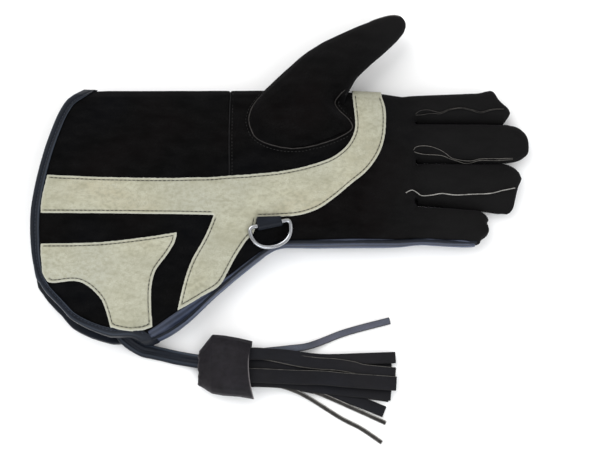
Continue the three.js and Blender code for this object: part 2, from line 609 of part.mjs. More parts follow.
// A strip of leather folded round the ring's bar, with both ends sewn to the palm beside the strap.
function ringTab() {
  const hole = RING_WIRE / 2 + BAR_CLEARANCE;
  const eye = hole + TAB_LEATHER;
  const profile = new THREE.Shape();
  profile.absarc(0, 0, eye, Math.PI / 2, 1.5 * Math.PI, false);
  profile.lineTo(eye, -eye - TAB_SINK);
  profile.lineTo(TAB_LENGTH, -eye - TAB_SINK);
  profile.lineTo(TAB_LENGTH, 2 * TAB_LEATHER - eye);
  profile.quadraticCurveTo(eye, 2 * TAB_LEATHER - eye, 0, eye);
  profile.holes.push(new THREE.Path().absarc(0, 0, hole, 0, 2 * Math.PI, true));
  const settings = { depth: TAB_WIDTH, bevelEnabled: false, curveSegments: 8 };
  const extruded = new THREE.ExtrudeGeometry(profile, settings);
  extruded.translate(0, 0, -TAB_WIDTH / 2);
  extruded.applyMatrix4(new THREE.Matrix4().makeBasis(
    new THREE.Vector3(0, 1, 0), new THREE.Vector3(0, 0, 1), new THREE.Vector3(1, 0, 0)));
  const strapArea = prism(offsetLoop(outline(STRAP_OUTLINE, 12), 2 * SEAM_GAP), 0, 3 * PALM_THICKNESS);
  return inRingFrame(solid(extruded)).subtract(bodyForm(SEAM_GAP)).subtract(strapArea);
}

function offsetLoop(points, distance) {
  return points.map((point, i) => {
    const before = points[(i + points.length - 1) % points.length];
    const after = points[(i + 1) % points.length];
    const along = after.clone().sub(before).normalize();
    const side = THREE.ShapeUtils.area(points) > 0 ? 1 : -1;
    return new THREE.Vector2(point.x + side * along.y * distance, point.y - side * along.x * distance);
  });
}

// The tassel hangs off the tip of the flare and lies on the surface. Points are in the glove's own frame.
const THONG_ROUTE = [
  { along: -0.57, across: -1.68, height: 9 },
  { along: -0.56, across: -1.8, height: 10.2 },
  { along: -0.535, across: -1.92, height: 9.8 },
  { along: -0.44, across: -2.065, height: 4.6 },
  { along: -0.318, across: -2.105, height: 3 },
  { along: -0.223, across: -2.128, height: 4 },
  { along: -0.149, across: -2.143, height: 5.8 },
  { along: -0.088, across: -2.15, height: 6.2 },
];
const COLLAR_PLACE = [-0.155, -2.22]; // the middle of the collar's left end
const COLLAR_SECTIONS = [
  { along: 0, left: 0.32, right: -0.24, high: 0.46 },
  { along: 0.25, left: 0.61, right: -0.4, high: 0.86 },
  { along: 0.45, left: 0.59, right: -0.44, high: 1 },
  { along: 0.75, left: 0.54, right: -0.46, high: 1 },
  { along: 1, left: 0.49, right: -0.5, high: 0.94 },
];
const FRINGE_AXIS = -0.02; // the bundle's middle line at the collar, as a share of the collar's width

// One row for each strip. "start", "middle" and "end" are shares of the bundle's width across its middle
// line, "reach" and "width" are shares of a strip's full length and width, and level 0 lies lowest.
const FRINGE_STRIPS = [
  { start: -0.3, middle: -0.42, end: -0.62, reach: 0.97, width: 1, level: 0 },
  { start: -0.08, middle: -0.12, end: -0.26, reach: 0.98, width: 1, level: 0 },
  { start: 0.16, middle: 0.16, end: 0.1, reach: 1, width: 1, level: 0 },
  { start: 0.38, middle: 0.38, end: 0.36, reach: 1, width: 1, level: 0 },
  { start: -0.31, middle: -0.5, end: -0.88, reach: 0.95, width: 1, level: 1 },
  { start: -0.12, middle: -0.2, end: -0.48, reach: 0.99, width: 1.1, level: 1 },
  { start: 0.12, middle: 0.08, end: -0.1, reach: 1.01, width: 1.1, level: 1 },
  { start: 0.36, middle: 0.33, end: 0.35, reach: 1, width: 1.1, level: 1 },
  { start: -0.24, middle: -0.3, end: -0.5, reach: 0.98, width: 1.1, level: 2 },
  { start: 0.04, middle: 0, end: -0.12, reach: 1.01, width: 1.1, level: 2 },
  { start: 0.3, middle: 0.24, end: 0.13, reach: 1, width: 1, level: 2 },
  { start: 0.43, middle: 0.72, end: 1.15, reach: 0.98, width: 0.55, level: 1 },
  { start: -0.34, middle: -0.64, end: -1.08, reach: 0.97, width: 0.4, level: 2 },
  { start: -0.34, middle: -0.86, end: -1.46, reach: 0.93, width: 0.4, level: 1 },
];
const FRINGE_STEPS = 7;

// Two strands of thong side by side, as one cord with a waist between them.
function tasselThong() {
  const round = THONG_THICKNESS / 2;
  const lobe = THONG_WIDTH / 2 - round;
  const section = [];
  [1, -1].forEach((side) => {
    for (let i = 0; i <= 5; i++) {
      const angle = (-0.36 + (0.72 * i) / 5) * Math.PI;
      const across = side * (lobe + round * Math.cos(angle));
      section.push(new THREE.Vector2(round * Math.sin(angle) * side, across));
    }
  });
  const points = THONG_ROUTE.map((row) => {
    const plan = planPoint([row.along, row.across]);
    return new THREE.Vector3(plan.x, plan.y, row.height);
  });
  const curve = new THREE.CatmullRomCurve3(points);
  const rings = curve.getSpacedPoints(THONG_STEPS).map((point, i) => {
    const along = curve.getTangentAt(i / THONG_STEPS);
    const sideways = new THREE.Vector3().crossVectors(new THREE.Vector3(0, 0, 1), along).normalize();
    const up = new THREE.Vector3().crossVectors(along, sideways);
    return section.map((p) => point.clone().addScaledVector(up, p.x).addScaledVector(sideways, p.y));
  });
  return skin(rings);
}

function collarRibs(rows) {
  const start = planPoint(COLLAR_PLACE);
  return rows.map((row) => ({
    left: new THREE.Vector2(start.x + row.along * COLLAR_LENGTH, start.y + row.left * COLLAR_WIDTH),
    right: new THREE.Vector2(start.x + row.along * COLLAR_LENGTH, start.y + row.right * COLLAR_WIDTH),
    low: 0,
    high: row.high * COLLAR_THICKNESS,
    leftSide: 0.45 * row.high * COLLAR_THICKNESS,
    rightSide: 0.45 * row.high * COLLAR_THICKNESS,
  }));
}

function collarForm(growth) {
  return loft(collarRibs(COLLAR_SECTIONS), growth, 10, 2);
}

// A wrap of leather round the head of the fringe, open at both ends.
function tasselCollar() {
  return collarForm(0).subtract(collarForm(-COLLAR_WALL));
}

// A flat strip: its width lies level, and its path is a list of points along its middle.
function ribbon(points, width, thickness) {
  const curve = new THREE.CatmullRomCurve3(points);
  const rings = curve.getPoints(FRINGE_STEPS).map((point, i) => {
    const along = curve.getTangent(i / FRINGE_STEPS);
    point.z = Math.max(point.z, thickness / 2);
    const sideways = new THREE.Vector3(-along.y, along.x, 0).normalize();
    return [[1, 1], [-1, 1], [-1, -1], [1, -1]].map(([side, up]) => {
      const corner = point.clone().addScaledVector(sideways, (side * width) / 2);
      corner.z += (up * thickness) / 2;
      return corner;
    });
  });
  return skin(rings);
}

// Strips cut into one rolled piece of leather, whose head is held in the collar.
function tasselFringe() {
  const start = planPoint(COLLAR_PLACE);
  const mouthX = start.x + COLLAR_LENGTH;
  const axisY = start.y + FRINGE_AXIS * COLLAR_WIDTH;
  const pitch = STRIP_THICKNESS + STRIP_GAP;
  const strips = FRINGE_STRIPS.map((row) => {
    const thickness = STRIP_THICKNESS;
    const at = (x, across, level) => new THREE.Vector3(x, axisY + across * FRINGE_SPREAD, level);
    const rootLevel = COLLAR_WALL + SEAM_GAP + 0.22 * COLLAR_THICKNESS + row.level * 1.5 * pitch;
    const restLevel = thickness / 2 + row.level * pitch;
    const length = row.reach * FRINGE_LENGTH;
    const spreading = THREE.MathUtils.lerp(row.start, row.middle, 0.4);
    return ribbon([
      at(mouthX - 0.3 * COLLAR_LENGTH, row.start, rootLevel),
      at(mouthX, row.start, rootLevel),
      at(mouthX + 0.3 * length, spreading, (rootLevel + restLevel) / 2),
      at(mouthX + 0.62 * length, row.middle, restLevel),
      at(mouthX + length, row.end, restLevel),
    ], row.width * STRIP_WIDTH, thickness);
  });
  const head = collarForm(-COLLAR_WALL - SEAM_GAP).trimByPlane([1, 0, 0], start.x + 0.42 * COLLAR_LENGTH);
  return strips.reduce((sum, strip) => sum.add(strip), head.trimByPlane([-1, 0, 0], -(mouthX - 2)));
}

const PIECES = [
  { name: "hand_shell", make: handShell, finish: SUEDE_BLACK },
  { name: "thumb_stall", make: thumbStall, finish: SUEDE_BLACK },
  { name: "gauntlet_cuff", make: gauntletCuff, finish: SUEDE_BLACK },
  { name: "palm_strap", make: palmStrap, finish: SUEDE_CREAM },
  { name: "cuff_patch", make: cuffPatch, finish: SUEDE_CREAM },
  { name: "cuff_binding", make: cuffBinding, finish: LEATHER_NAVY },
  { name: "side_piping", make: sidePiping, finish: LEATHER_NAVY },
  { name: "ring_tab", make: ringTab, finish: LEATHER_NAVY },
  { name: "d_ring", make: dRing, finish: NICKEL },
  { name: "tassel_thong", make: tasselThong, finish: LEATHER_NAVY },
  { name: "tassel_collar", make: tasselCollar, finish: SUEDE_BLACK },
  { name: "tassel_fringe", make: tasselFringe, finish: SUEDE_BLACK },
];

// The glove's own middle, without its tassel, is the part's origin.
function gloveMiddle(geometries) {
  const box = new THREE.Box3();
  geometries.forEach(({ name, geometry }) => {
    geometry.computeBoundingBox();
    if (!name.startsWith("tassel")) box.union(geometry.boundingBox);
  });
  const middle = box.getCenter(new THREE.Vector3());
  return new THREE.Vector3(middle.x, middle.y, box.min.z);
}

const glove = new THREE.Group();
const built = PIECES.map(({ name, make, finish }) => ({ name, finish, geometry: geometryOf(make()) }));
const origin = gloveMiddle(built);
built.forEach(({ name, finish, geometry }) => {
  const mesh = new THREE.Mesh(geometry, new THREE.MeshStandardMaterial(finish));
  mesh.name = name;
  glove.add(mesh);
});
glove.position.copy(origin).negate();

const part = new THREE.Group();
part.add(glove);
export default part;
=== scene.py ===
"""A falconer's gauntlet for the left hand, palm up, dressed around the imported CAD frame.

Black suede hand, thumb and flared cuff, cream suede overlays, navy leather binding and side
piping, a nickel D-ring in a leather tab, and a tassel of cut strips on a doubled thong.
Lengths in the tables are millimetres in the part's own frame, and meshes are in metres.
"""
import logging
import math
from dataclasses import dataclass, field
from enum import Enum
from typing import Any, Iterable, Sequence

import bpy
import numpy as np
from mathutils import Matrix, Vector, noise
from mathutils.bvhtree import BVHTree
from mathutils.kdtree import KDTree


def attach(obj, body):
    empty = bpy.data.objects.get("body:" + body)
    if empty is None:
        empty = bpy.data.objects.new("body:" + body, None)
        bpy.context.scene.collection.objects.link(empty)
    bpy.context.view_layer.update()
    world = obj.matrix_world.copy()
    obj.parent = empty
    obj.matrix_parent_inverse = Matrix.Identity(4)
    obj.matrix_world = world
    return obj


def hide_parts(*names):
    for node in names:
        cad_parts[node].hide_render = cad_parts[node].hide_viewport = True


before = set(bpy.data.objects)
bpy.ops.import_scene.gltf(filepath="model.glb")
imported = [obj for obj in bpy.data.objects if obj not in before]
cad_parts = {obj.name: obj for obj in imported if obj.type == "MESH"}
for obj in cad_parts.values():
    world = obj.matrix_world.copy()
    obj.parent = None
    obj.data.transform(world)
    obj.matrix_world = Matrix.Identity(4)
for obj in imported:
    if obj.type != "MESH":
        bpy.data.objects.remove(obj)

LOG = logging.getLogger("gauntlet")
MM = 0.001
GLOVE = "glove"
TETHER = "tether_ring"
CURVE_STEPS = 24
Point = tuple[float, float]
Point3 = tuple[float, float, float]


class Slot(Enum):
    """The record's material slots."""

    BLACK = "black_suede"
    CREAM = "cream_suede"
    NAVY = "navy_leather"
    NICKEL = "nickel"


class Rim(Enum):
    """How pale a cut edge is."""

    DARK = "dark"
    DIM = "dim"
    PLAIN = "plain"
    BRIGHT = "bright"


# ---------------------------------------------------------------- shader maths


class Sock:
    """One output of a shader node, on which plain arithmetic adds Math nodes."""

    def __init__(self, paint: "Paint", socket: bpy.types.NodeSocket) -> None:
        """Wraps a socket of a material that is being made."""
        self.paint = paint
        self.socket = socket

    def _math(self, operation: str, a: Any, b: Any) -> "Sock":
        """Adds one Math node.

        Args:
            operation: The node's operation.
            a: The first value or socket.
            b: The second value or socket.

        Returns:
            The node's result.
        """
        return self.paint.node("ShaderNodeMath", {"operation": operation}, {0: a, 1: b})

    def __add__(self, other: Any) -> "Sock":
        """self + other."""
        return self._math("ADD", self, other)

    def __radd__(self, other: Any) -> "Sock":
        """other + self."""
        return self._math("ADD", other, self)

    def __sub__(self, other: Any) -> "Sock":
        """self - other."""
        return self._math("SUBTRACT", self, other)

    def __rsub__(self, other: Any) -> "Sock":
        """other - self."""
        return self._math("SUBTRACT", other, self)

    def __mul__(self, other: Any) -> "Sock":
        """self * other."""
        return self._math("MULTIPLY", self, other)

    def __rmul__(self, other: Any) -> "Sock":
        """other * self."""
        return self._math("MULTIPLY", other, self)

    def __pow__(self, other: Any) -> "Sock":
        """self ** other."""
        return self._math("POWER", self, other)


class Paint:
    """A node material while it is being mixed."""

    def __init__(self, name: str) -> None:
        """Starts a material with an empty surface.

        Args:
            name: The material's name.
        """
        self.material = bpy.data.materials.new(name)
        self.material.use_nodes = True
        self.tree = self.material.node_tree
        self.shader = self.tree.nodes["Principled BSDF"]
        self.place = self.node("ShaderNodeTexCoord", {}, {}, "Object")

    def node(
        self, kind: str, settings: dict[str, Any], inputs: dict[Any, Any], output: Any = 0
    ) -> Sock:
        """Adds any node, sets it, and fills its sockets.

        Args:
            kind: The node's type.
            settings: Attributes that are set first, with a ramp's stops under "stops".
            inputs: Values or sockets by the input's name or number.
            output: The name or number of the output that is wanted.

        Returns:
            The chosen output.
        """
        made = self.tree.nodes.new(kind)
        for key, value in settings.items():
            if key == "stops":
                ramp = made.color_ramp.elements
                while len(ramp) < len(value):
                    ramp.new(0.5)
                for element, (position, colour) in zip(ramp, value):
                    element.position = position
                    element.color = (*colour, 1) if len(colour) == 3 else colour
            else:
                setattr(made, key, value)
        for key, value in inputs.items():
            self.fill(made.inputs[key], value)
        return Sock(self, made.outputs[output])

    def fill(self, socket: bpy.types.NodeSocket, value: Any) -> None:
        """Links or sets one input.

        Args:
            socket: The input.
            value: A Sock, a number or a colour.
        """
        if isinstance(value, Sock):
            self.tree.links.new(value.socket, socket)
        elif isinstance(value, (tuple, list)) and len(value) == 3 and socket.type == "RGBA":
            socket.default_value = (*value, 1)
        else:
            socket.default_value = value

    def noise(self, size: float, detail: float = 3, stretch: Point3 = (1, 1, 1)) -> Sock:
        """Noise whose blotches are about that large.

        Args:
            size: The blotches' size in millimetres.
            detail: Octaves.
            stretch: How the pattern is scaled along each axis.

        Returns:
            A value around one half.
        """
        vector = self.node("ShaderNodeMapping", {}, {"Vector": self.place, "Scale": stretch})
        return self.node(
            "ShaderNodeTexNoise", {}, {"Vector": vector, "Scale": 1 / (size * MM), "Detail": detail}
        )

    def grain(self, size: float) -> Sock:
        """The pebbles of smooth leather, as a height."""
        return self.node(
            "ShaderNodeTexVoronoi",
            {"feature": "SMOOTH_F1"},
            {"Vector": self.place, "Scale": 1 / (size * MM), "Smoothness": 0.6},
        )

    def mark(self, name: str) -> Sock:
        """The piece's own attribute of that name."""
        return self.node("ShaderNodeAttribute", {"attribute_name": name}, {}, "Fac")

    def band(self, value: Sock, low: float, high: float) -> Sock:
        """Stretches low..high to 0..1 and cuts off the rest."""
        return self.node(
            "ShaderNodeMapRange", {"clamp": True}, {"Value": value, "From Min": low, "From Max": high}
        )

    def blend(self, share: Any, a: Any, b: Any) -> Sock:
        """Mixes two colours by a share."""
        settings = {"data_type": "RGBA", "clamp_factor": True}
        return self.node("ShaderNodeMix", settings, {0: share, 6: a, 7: b}, 2)

    def surface(self, height: Sock, relief: float, inputs: dict[str, Any]) -> bpy.types.Material:
        """Gives the shader its inputs and a bump.

        Args:
            height: The relief's pattern, from 0 to 1.
            relief: The relief's depth in millimetres.
            inputs: The shader's other inputs.

        Returns:
            The finished material.
        """
        bump = {"Height": height, "Distance": relief * MM, "Strength": 1.0}
        inputs = {**inputs, "Normal": self.node("ShaderNodeBump", {}, bump)}
        for key, value in inputs.items():
            self.fill(self.shader.inputs[key], value)
        return self.material


# -------------------------------------------------------------------- finishes


@dataclass(frozen=True)
class Suede:
    """Napped leather, whose fibres lie lighter in one place and darker in the next."""

    name: str
    base: Point3
    shade: Point3
    bloom_and_painted_light: Point3
    edge: Point3
    warm: Point3
    cool: Point3
    # The colour of the painted shade along a sewn groove.
    groove: Point3 = (0.002, 0.002, 0.002)
    roughness: float = 0.93
    sheen: float = 0.022
    sheen_tint: Point3 = (0.8, 0.75, 0.85)
    specular: float = 0.035
    nap: float = 0.35
    fleck: float = 0.35
    fleck_size: float = 2.4

    def mix(self) -> bpy.types.Material:
        """The finish as a material."""
        paint = Paint(self.name)
        clouds = paint.band(paint.noise(34, 2), 0.32, 0.7)
        tints = paint.noise(52, 1, (1, 1, 0.4))
        brushed = paint.band(paint.noise(7, 4, (0.5, 1, 1)), 0.3, 0.72)
        fibres = paint.noise(0.55, 2)
        colour = paint.blend(clouds * 0.75, self.base, self.shade)
        colour = paint.blend(paint.band(tints, 0.5, 0.72) * 0.7, colour, self.warm)
        colour = paint.blend(paint.band(tints, 0.5, 0.3) * 0.7, colour, self.cool)
        flecks = paint.band(paint.noise(self.fleck_size, 3, (0.7, 1, 1)), 0.4, 0.66)
        colour = paint.blend(flecks * self.fleck, colour, self.shade)
        rubbed = brushed * paint.band(fibres, 0.35, 0.7) * 0.8
        # Rubbed nap is random; the mark read here adds painted light, paler suede where the shells catch
        # light.
        colour = paint.blend(rubbed + paint.mark("worn"), colour, self.bloom_and_painted_light)
        colour = paint.blend(paint.mark("edge"), colour, self.edge)
        # Painted shade: the suede is darkened along its stitched groove.
        colour = paint.blend(paint.mark("groove"), colour, self.groove)
        return paint.surface(
            fibres * 0.6 + brushed * 0.4,
            self.nap,
            {
                "Base Color": colour,
                "Roughness": self.roughness,
                "Sheen Weight": self.sheen,
                "Sheen Roughness": 0.45,
                "Sheen Tint": (*self.sheen_tint, 1),
                "Specular IOR Level": self.specular,
            },
        )


@dataclass(frozen=True)
class SmoothLeather:
    """Grain leather with a half gloss."""

    name: str
    base: Point3
    worn: Point3
    edge: Point3
    roughness: float = 0.4
    specular: float = 0.14

    def mix(self) -> bpy.types.Material:
        """The finish as a material."""
        paint = Paint(self.name)
        rubbed = paint.band(paint.noise(9, 3, (0.6, 1, 1)), 0.42, 0.75)
        pebbles = paint.grain(0.9)
        colour = paint.blend(rubbed * 0.7, self.base, self.worn)
        colour = paint.blend(paint.mark("edge"), colour, self.edge)
        return paint.surface(
            pebbles * 0.7 + paint.noise(3, 2) * 0.5,
            0.14,
            {
                "Base Color": colour,
                "Roughness": self.roughness + rubbed * 0.16,
                "Specular IOR Level": self.specular,
            },
        )


@dataclass(frozen=True)
class RawEdge:
    """The cut edge of leather, paler and fibrous."""

    name: str
    base: Point3
    dark: Point3

    def mix(self) -> bpy.types.Material:
        """The finish as a material."""
        paint = Paint(self.name)
        fibres = paint.band(paint.noise(0.8, 3), 0.3, 0.7)
        patches = paint.band(paint.noise(5, 2), 0.38, 0.62)
        colour = paint.blend(fibres * 0.6 + patches * 0.4, self.dark, self.base)
        inputs = {"Base Color": colour, "Roughness": 0.85, "Specular IOR Level": 0.2}
        return paint.surface(fibres, 0.2, inputs)


@dataclass(frozen=True)
class Thread:
    """Twisted sewing thread."""

    name: str
    base: Point3

    def mix(self) -> bpy.types.Material:
        """The finish as a material."""
        paint = Paint(self.name)
        twist = paint.noise(0.5, 1, (1, 2, 1))
        lighter = tuple(min(1.0, 1.8 * c + 0.01) for c in self.base)
        colour = paint.blend(paint.band(twist, 0.35, 0.65), self.base, lighter)
        inputs = {"Base Color": colour, "Roughness": 0.6, "Specular IOR Level": 0.25}
        return paint.surface(twist, 0.1, inputs)


@dataclass(frozen=True)
class Plate:
    """Bright nickel plate with fine handling marks."""

    name: str
    base: Point3
    painted_dark_reflection: Point3

    def mix(self) -> bpy.types.Material:
        """The finish as a material."""
        paint = Paint(self.name)
        marks = paint.band(paint.noise(1.2, 4, (1, 5, 1)), 0.45, 0.8)
        # Painted reflection: the mark darkens the plate towards its second colour, a painted dark
        # reflection of the room.
        worn = paint.mark("worn")
        haze = paint.band(paint.noise(6, 2), 0.4, 0.7)
        dull = tuple(0.82 * c for c in self.base)
        return paint.surface(
            marks,
            0.012,
            {
                "Base Color": paint.blend(worn, paint.blend(haze * 0.6, self.base, dull), self.painted_dark_reflection),
                "Metallic": 1.0,
                "Roughness": 0.14 + marks * 0.14 + haze * 0.08,
            },
        )


@dataclass
class Finishes:
    """Every material of the glove, mixed once."""

    black: bpy.types.Material = field(init=False)
    cream: bpy.types.Material = field(init=False)
    navy: bpy.types.Material = field(init=False)
    side: bpy.types.Material = field(init=False)
    strip: bpy.types.Material = field(init=False)
    lit_strip: bpy.types.Material = field(init=False)
    wrap: bpy.types.Material = field(init=False)
    rims: dict[Rim, bpy.types.Material] = field(init=False)
    thread: bpy.types.Material = field(init=False)
    thread_navy: bpy.types.Material = field(init=False)
    nickel: bpy.types.Material = field(init=False)

    def __post_init__(self) -> None:
        """Mixes each material."""
        # The black suede's bloom colour also carries the painted light on the shells.
        self.black = Suede(
            "black_suede", base=(0.0015, 0.00147, 0.00145), shade=(0.0009, 0.0009, 0.0009),
            bloom_and_painted_light=(0.0072, 0.007, 0.0071), edge=(0.03, 0.028, 0.027), warm=(0.0032, 0.0022, 0.0022),
            cool=(0.0017, 0.0019, 0.0027),
        ).mix()
        self.cream = Suede(
            "cream_suede", base=(0.358, 0.351, 0.266), shade=(0.245, 0.238, 0.172),
            bloom_and_painted_light=(0.455, 0.452, 0.372), edge=(0.43, 0.43, 0.37), warm=(0.32, 0.292, 0.205),
            cool=(0.32, 0.322, 0.268), groove=(0.04, 0.038, 0.03), sheen_tint=(1, 0.97, 0.9), nap=0.22,
            fleck=0.8,
        ).mix()
        # The navy edge colour paints highlight lines on the binding and the thong.
        self.navy = SmoothLeather(
            "navy_leather", (0.0022, 0.0038, 0.0075), (0.006, 0.0085, 0.015), (0.055, 0.068, 0.09)
        ).mix()
        # Painted light: a lighter, bluer copy of the navy leather for the side band, with bright painted
        # highlight lines.
        self.side = SmoothLeather(
            "lit_navy_side_leather", (0.006, 0.009, 0.02), (0.018, 0.024, 0.046), (0.12, 0.15, 0.235),
            specular=0.26,
        ).mix()
        self.strip = Suede(
            "strip_leather", base=(0.0045, 0.0045, 0.006), shade=(0.003, 0.003, 0.004),
            bloom_and_painted_light=(0.0105, 0.0103, 0.0135), edge=(0.09, 0.085, 0.085), warm=(0.0085, 0.0075, 0.0085),
            cool=(0.006, 0.0066, 0.01), roughness=0.62, specular=0.12, nap=0.16,
        ).mix()
        self.lit_strip = Suede(
            "lit_strip_leather", base=(0.038, 0.044, 0.064), shade=(0.02, 0.023, 0.034),
            bloom_and_painted_light=(0.085, 0.095, 0.13), edge=(0.2, 0.21, 0.25), warm=(0.065, 0.055, 0.085),
            cool=(0.05, 0.065, 0.095), roughness=0.5, specular=0.4, nap=0.14,
        ).mix()
        self.wrap = Suede(
            "wrap_leather", base=(0.0075, 0.0062, 0.0078), shade=(0.0045, 0.004, 0.005),
            bloom_and_painted_light=(0.017, 0.0145, 0.018), edge=(0.2, 0.185, 0.19), warm=(0.012, 0.009, 0.0105),
            cool=(0.01, 0.009, 0.0125), roughness=0.6, specular=0.12, sheen=0.06, nap=0.2, fleck=0.9,
        ).mix()
        self.rims = {
            Rim.PLAIN: RawEdge("raw_edge", (0.13, 0.124, 0.112), (0.028, 0.026, 0.024)).mix(),
            Rim.DIM: RawEdge("dim_raw_edge", (0.042, 0.039, 0.036), (0.009, 0.008, 0.0075)).mix(),
            Rim.BRIGHT: RawEdge("bright_raw_edge", (0.36, 0.35, 0.33), (0.1, 0.095, 0.088)).mix(),
            Rim.DARK: RawEdge("dark_raw_edge", (0.011, 0.0105, 0.011), (0.0045, 0.0045, 0.005)).mix(),
        }
        self.thread = Thread("black_thread", (0.006, 0.0055, 0.005)).mix()
        self.thread_navy = Thread("navy_thread", (0.01, 0.014, 0.024)).mix()
        # The nickel's second colour is the painted dark reflection on the ring's flat faces.
        self.nickel = Plate("nickel_plate", (0.5, 0.51, 0.53), (0.07, 0.07, 0.075)).mix()


# ------------------------------------------------------------------- workbench


def select_only(piece: bpy.types.Object) -> None:
    """Deselects everything else and makes one piece active."""
    bpy.ops.object.select_all(action="DESELECT")
    piece.select_set(True)
    bpy.context.view_layer.objects.active = piece


def modify(piece: bpy.types.Object, kind: str, **settings: Any) -> None:
    """Adds a modifier and applies it.

    Args:
        piece: The piece.
        kind: The modifier's type.
        settings: Its attributes.
    """
    select_only(piece)
    modifier = piece.modifiers.new(kind.title(), kind)
    for key, value in settings.items():
        setattr(modifier, key, value)
    bpy.ops.object.modifier_apply(modifier=modifier.name)


def edit(piece: bpy.types.Object, *steps: tuple[Any, dict[str, Any]]) -> None:
    """Runs edit-mode operators on the whole of a piece.

    Args:
        piece: The piece.
        steps: Operators with their settings.
    """
    select_only(piece)
    bpy.ops.object.mode_set(mode="EDIT")
    bpy.ops.mesh.select_all(action="SELECT")
    for operator, settings in steps:
        operator(**settings)
    bpy.ops.object.mode_set(mode="OBJECT")


def copy_of(node: str, name: str) -> bpy.types.Object:
    """A merged copy of a CAD node's mesh, as a new piece.

    Args:
        node: The CAD node.
        name: The new piece's name.

    Returns:
        The new piece.
    """
    piece = bpy.data.objects.new(name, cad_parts[node].data.copy())
    bpy.context.scene.collection.objects.link(piece)
    piece.data.materials.clear()
    edit(piece, (bpy.ops.mesh.remove_doubles, {"threshold": 1e-6}))
    return piece


def new_piece(name: str, points: np.ndarray, faces: Sequence[tuple[int, ...]]) -> bpy.types.Object:
    """A piece from its vertices and faces.

    Args:
        name: The piece's name.
        points: Vertices in millimetres.
        faces: Each face's vertex numbers.

    Returns:
        The new piece.
    """
    mesh = bpy.data.meshes.new(name)
    mesh.from_pydata((points * MM).tolist(), [], faces)
    piece = bpy.data.objects.new(name, mesh)
    bpy.context.scene.collection.objects.link(piece)
    return piece


def sheet_of(name: str, rows: np.ndarray) -> bpy.types.Object:
    """A sheet through rows of points.

    Args:
        name: The piece's name.
        rows: Points in millimetres, by row and by place in the row.

    Returns:
        The new piece.
    """
    count, across = rows.shape[:2]
    corners = [a for i in range(count - 1) for a in range(i * across, (i + 1) * across - 1)]
    faces = [(a, a + across, a + across + 1, a + 1) for a in corners]
    return new_piece(name, rows.reshape(-1, 3), faces)


def round_over(piece: bpy.types.Object, voxel: float, passes: int) -> None:
    """Gives a faceted form an even mesh with soft corners.

    Args:
        piece: The piece.
        voxel: The mesh's spacing in millimetres.
        passes: How often it is smoothed.
    """
    modify(piece, "REMESH", mode="VOXEL", voxel_size=voxel * MM, use_smooth_shade=True)
    modify(piece, "SMOOTH", factor=0.5, iterations=passes)


def coordinates(piece: bpy.types.Object) -> np.ndarray:
    """A piece's vertices as an array of rows."""
    flat = np.zeros(len(piece.data.vertices) * 3)
    piece.data.vertices.foreach_get("co", flat)
    return flat.reshape(-1, 3)


def normals(piece: bpy.types.Object) -> np.ndarray:
    """A piece's vertex normals as an array of rows."""
    flat = np.zeros(len(piece.data.vertices) * 3)
    piece.data.vertices.foreach_get("normal", flat)
    return flat.reshape(-1, 3)


def place_vertices(piece: bpy.types.Object, points: np.ndarray) -> None:
    """Moves a piece's vertices to an array of rows."""
    piece.data.vertices.foreach_set("co", points.astype(np.float64).ravel())
    piece.data.update()


def mark(piece: bpy.types.Object, name: str, values: np.ndarray) -> None:
    """Stores a number for each vertex, for the materials to read."""
    attribute = piece.data.attributes.new(name, "FLOAT", "POINT")
    attribute.data.foreach_set("value", values.astype(np.float32))


def dress(piece: bpy.types.Object, slot: Slot, *materials: bpy.types.Material) -> None:
    """Gives a piece its materials.

    Args:
        piece: The piece.
        slot: The record's slot that its finish comes from; it is not used.
        materials: One material for each of its material slots.
    """
    slots = np.zeros(len(piece.data.polygons), dtype=np.int32)
    piece.data.polygons.foreach_get("material_index", slots)
    piece.data.materials.clear()
    for material in materials:
        piece.data.materials.append(material)
    piece.data.polygons.foreach_set("material_index", np.minimum(slots, len(materials) - 1))
    piece.data.shade_smooth()


def hand_over(piece: bpy.types.Object, body: str, *nodes: str) -> None:
    """Lets a piece ride on a body and reports it.

    Args:
        piece: The piece.
        body: The body's name.
        nodes: The CAD nodes that it stands in for.
    """
    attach(piece, body)
    if nodes:
        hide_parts(*nodes)
    faces = sum(len(polygon.vertices) - 2 for polygon in piece.data.polygons)
    LOG.info("%s: %d triangles on %s", piece.name, faces, body)


def along_table(table: np.ndarray, at: np.ndarray) -> np.ndarray:
    """The smooth curve through a table's rows.

    Args:
        table: One row for each knot.
        at: Places along it, with whole numbers at the knots.

    Returns:
        One row for each place.
    """
    padded = np.vstack([2 * table[0] - table[1], table, 2 * table[-1] - table[-2]])
    i = np.clip(np.floor(at).astype(int), 0, len(table) - 2)
    t = (at - i)[:, None]
    a, b, c, d = (padded[i + k] for k in range(4))
    return 0.5 * (2 * b + (c - a) * t + (2 * a - 5 * b + 4 * c - d) * t**2 + (3 * b - a - 3 * c + d) * t**3)


def spline(points: Sequence[Sequence[float]], step: float) -> np.ndarray:
    """A smooth line through a few points, sampled evenly.

    Args:
        points: Points of any width, in millimetres.
        step: The distance between samples.

    Returns:
        One row for each sample.
    """
    table = np.array(points, float)
    spans = len(table) - 1
    return even(along_table(table, np.linspace(0, spans, CURVE_STEPS * spans + 1)), step)


def even(line: np.ndarray, step: float) -> np.ndarray:
    """Resamples a line evenly by its plan length.

    Args:
        line: One row for each point, in millimetres.
        step: The distance between samples.

    Returns:
        The resampled line.
    """
    lengths = np.linalg.norm(np.diff(line[:, :2], axis=0), axis=1)
    run = np.concatenate([[0], np.cumsum(lengths)])
    at = np.linspace(0, run[-1], max(2, round(run[-1] / step) + 1))
    return np.stack([np.interp(at, run, line[:, k]) for k in range(line.shape[1])], axis=1)


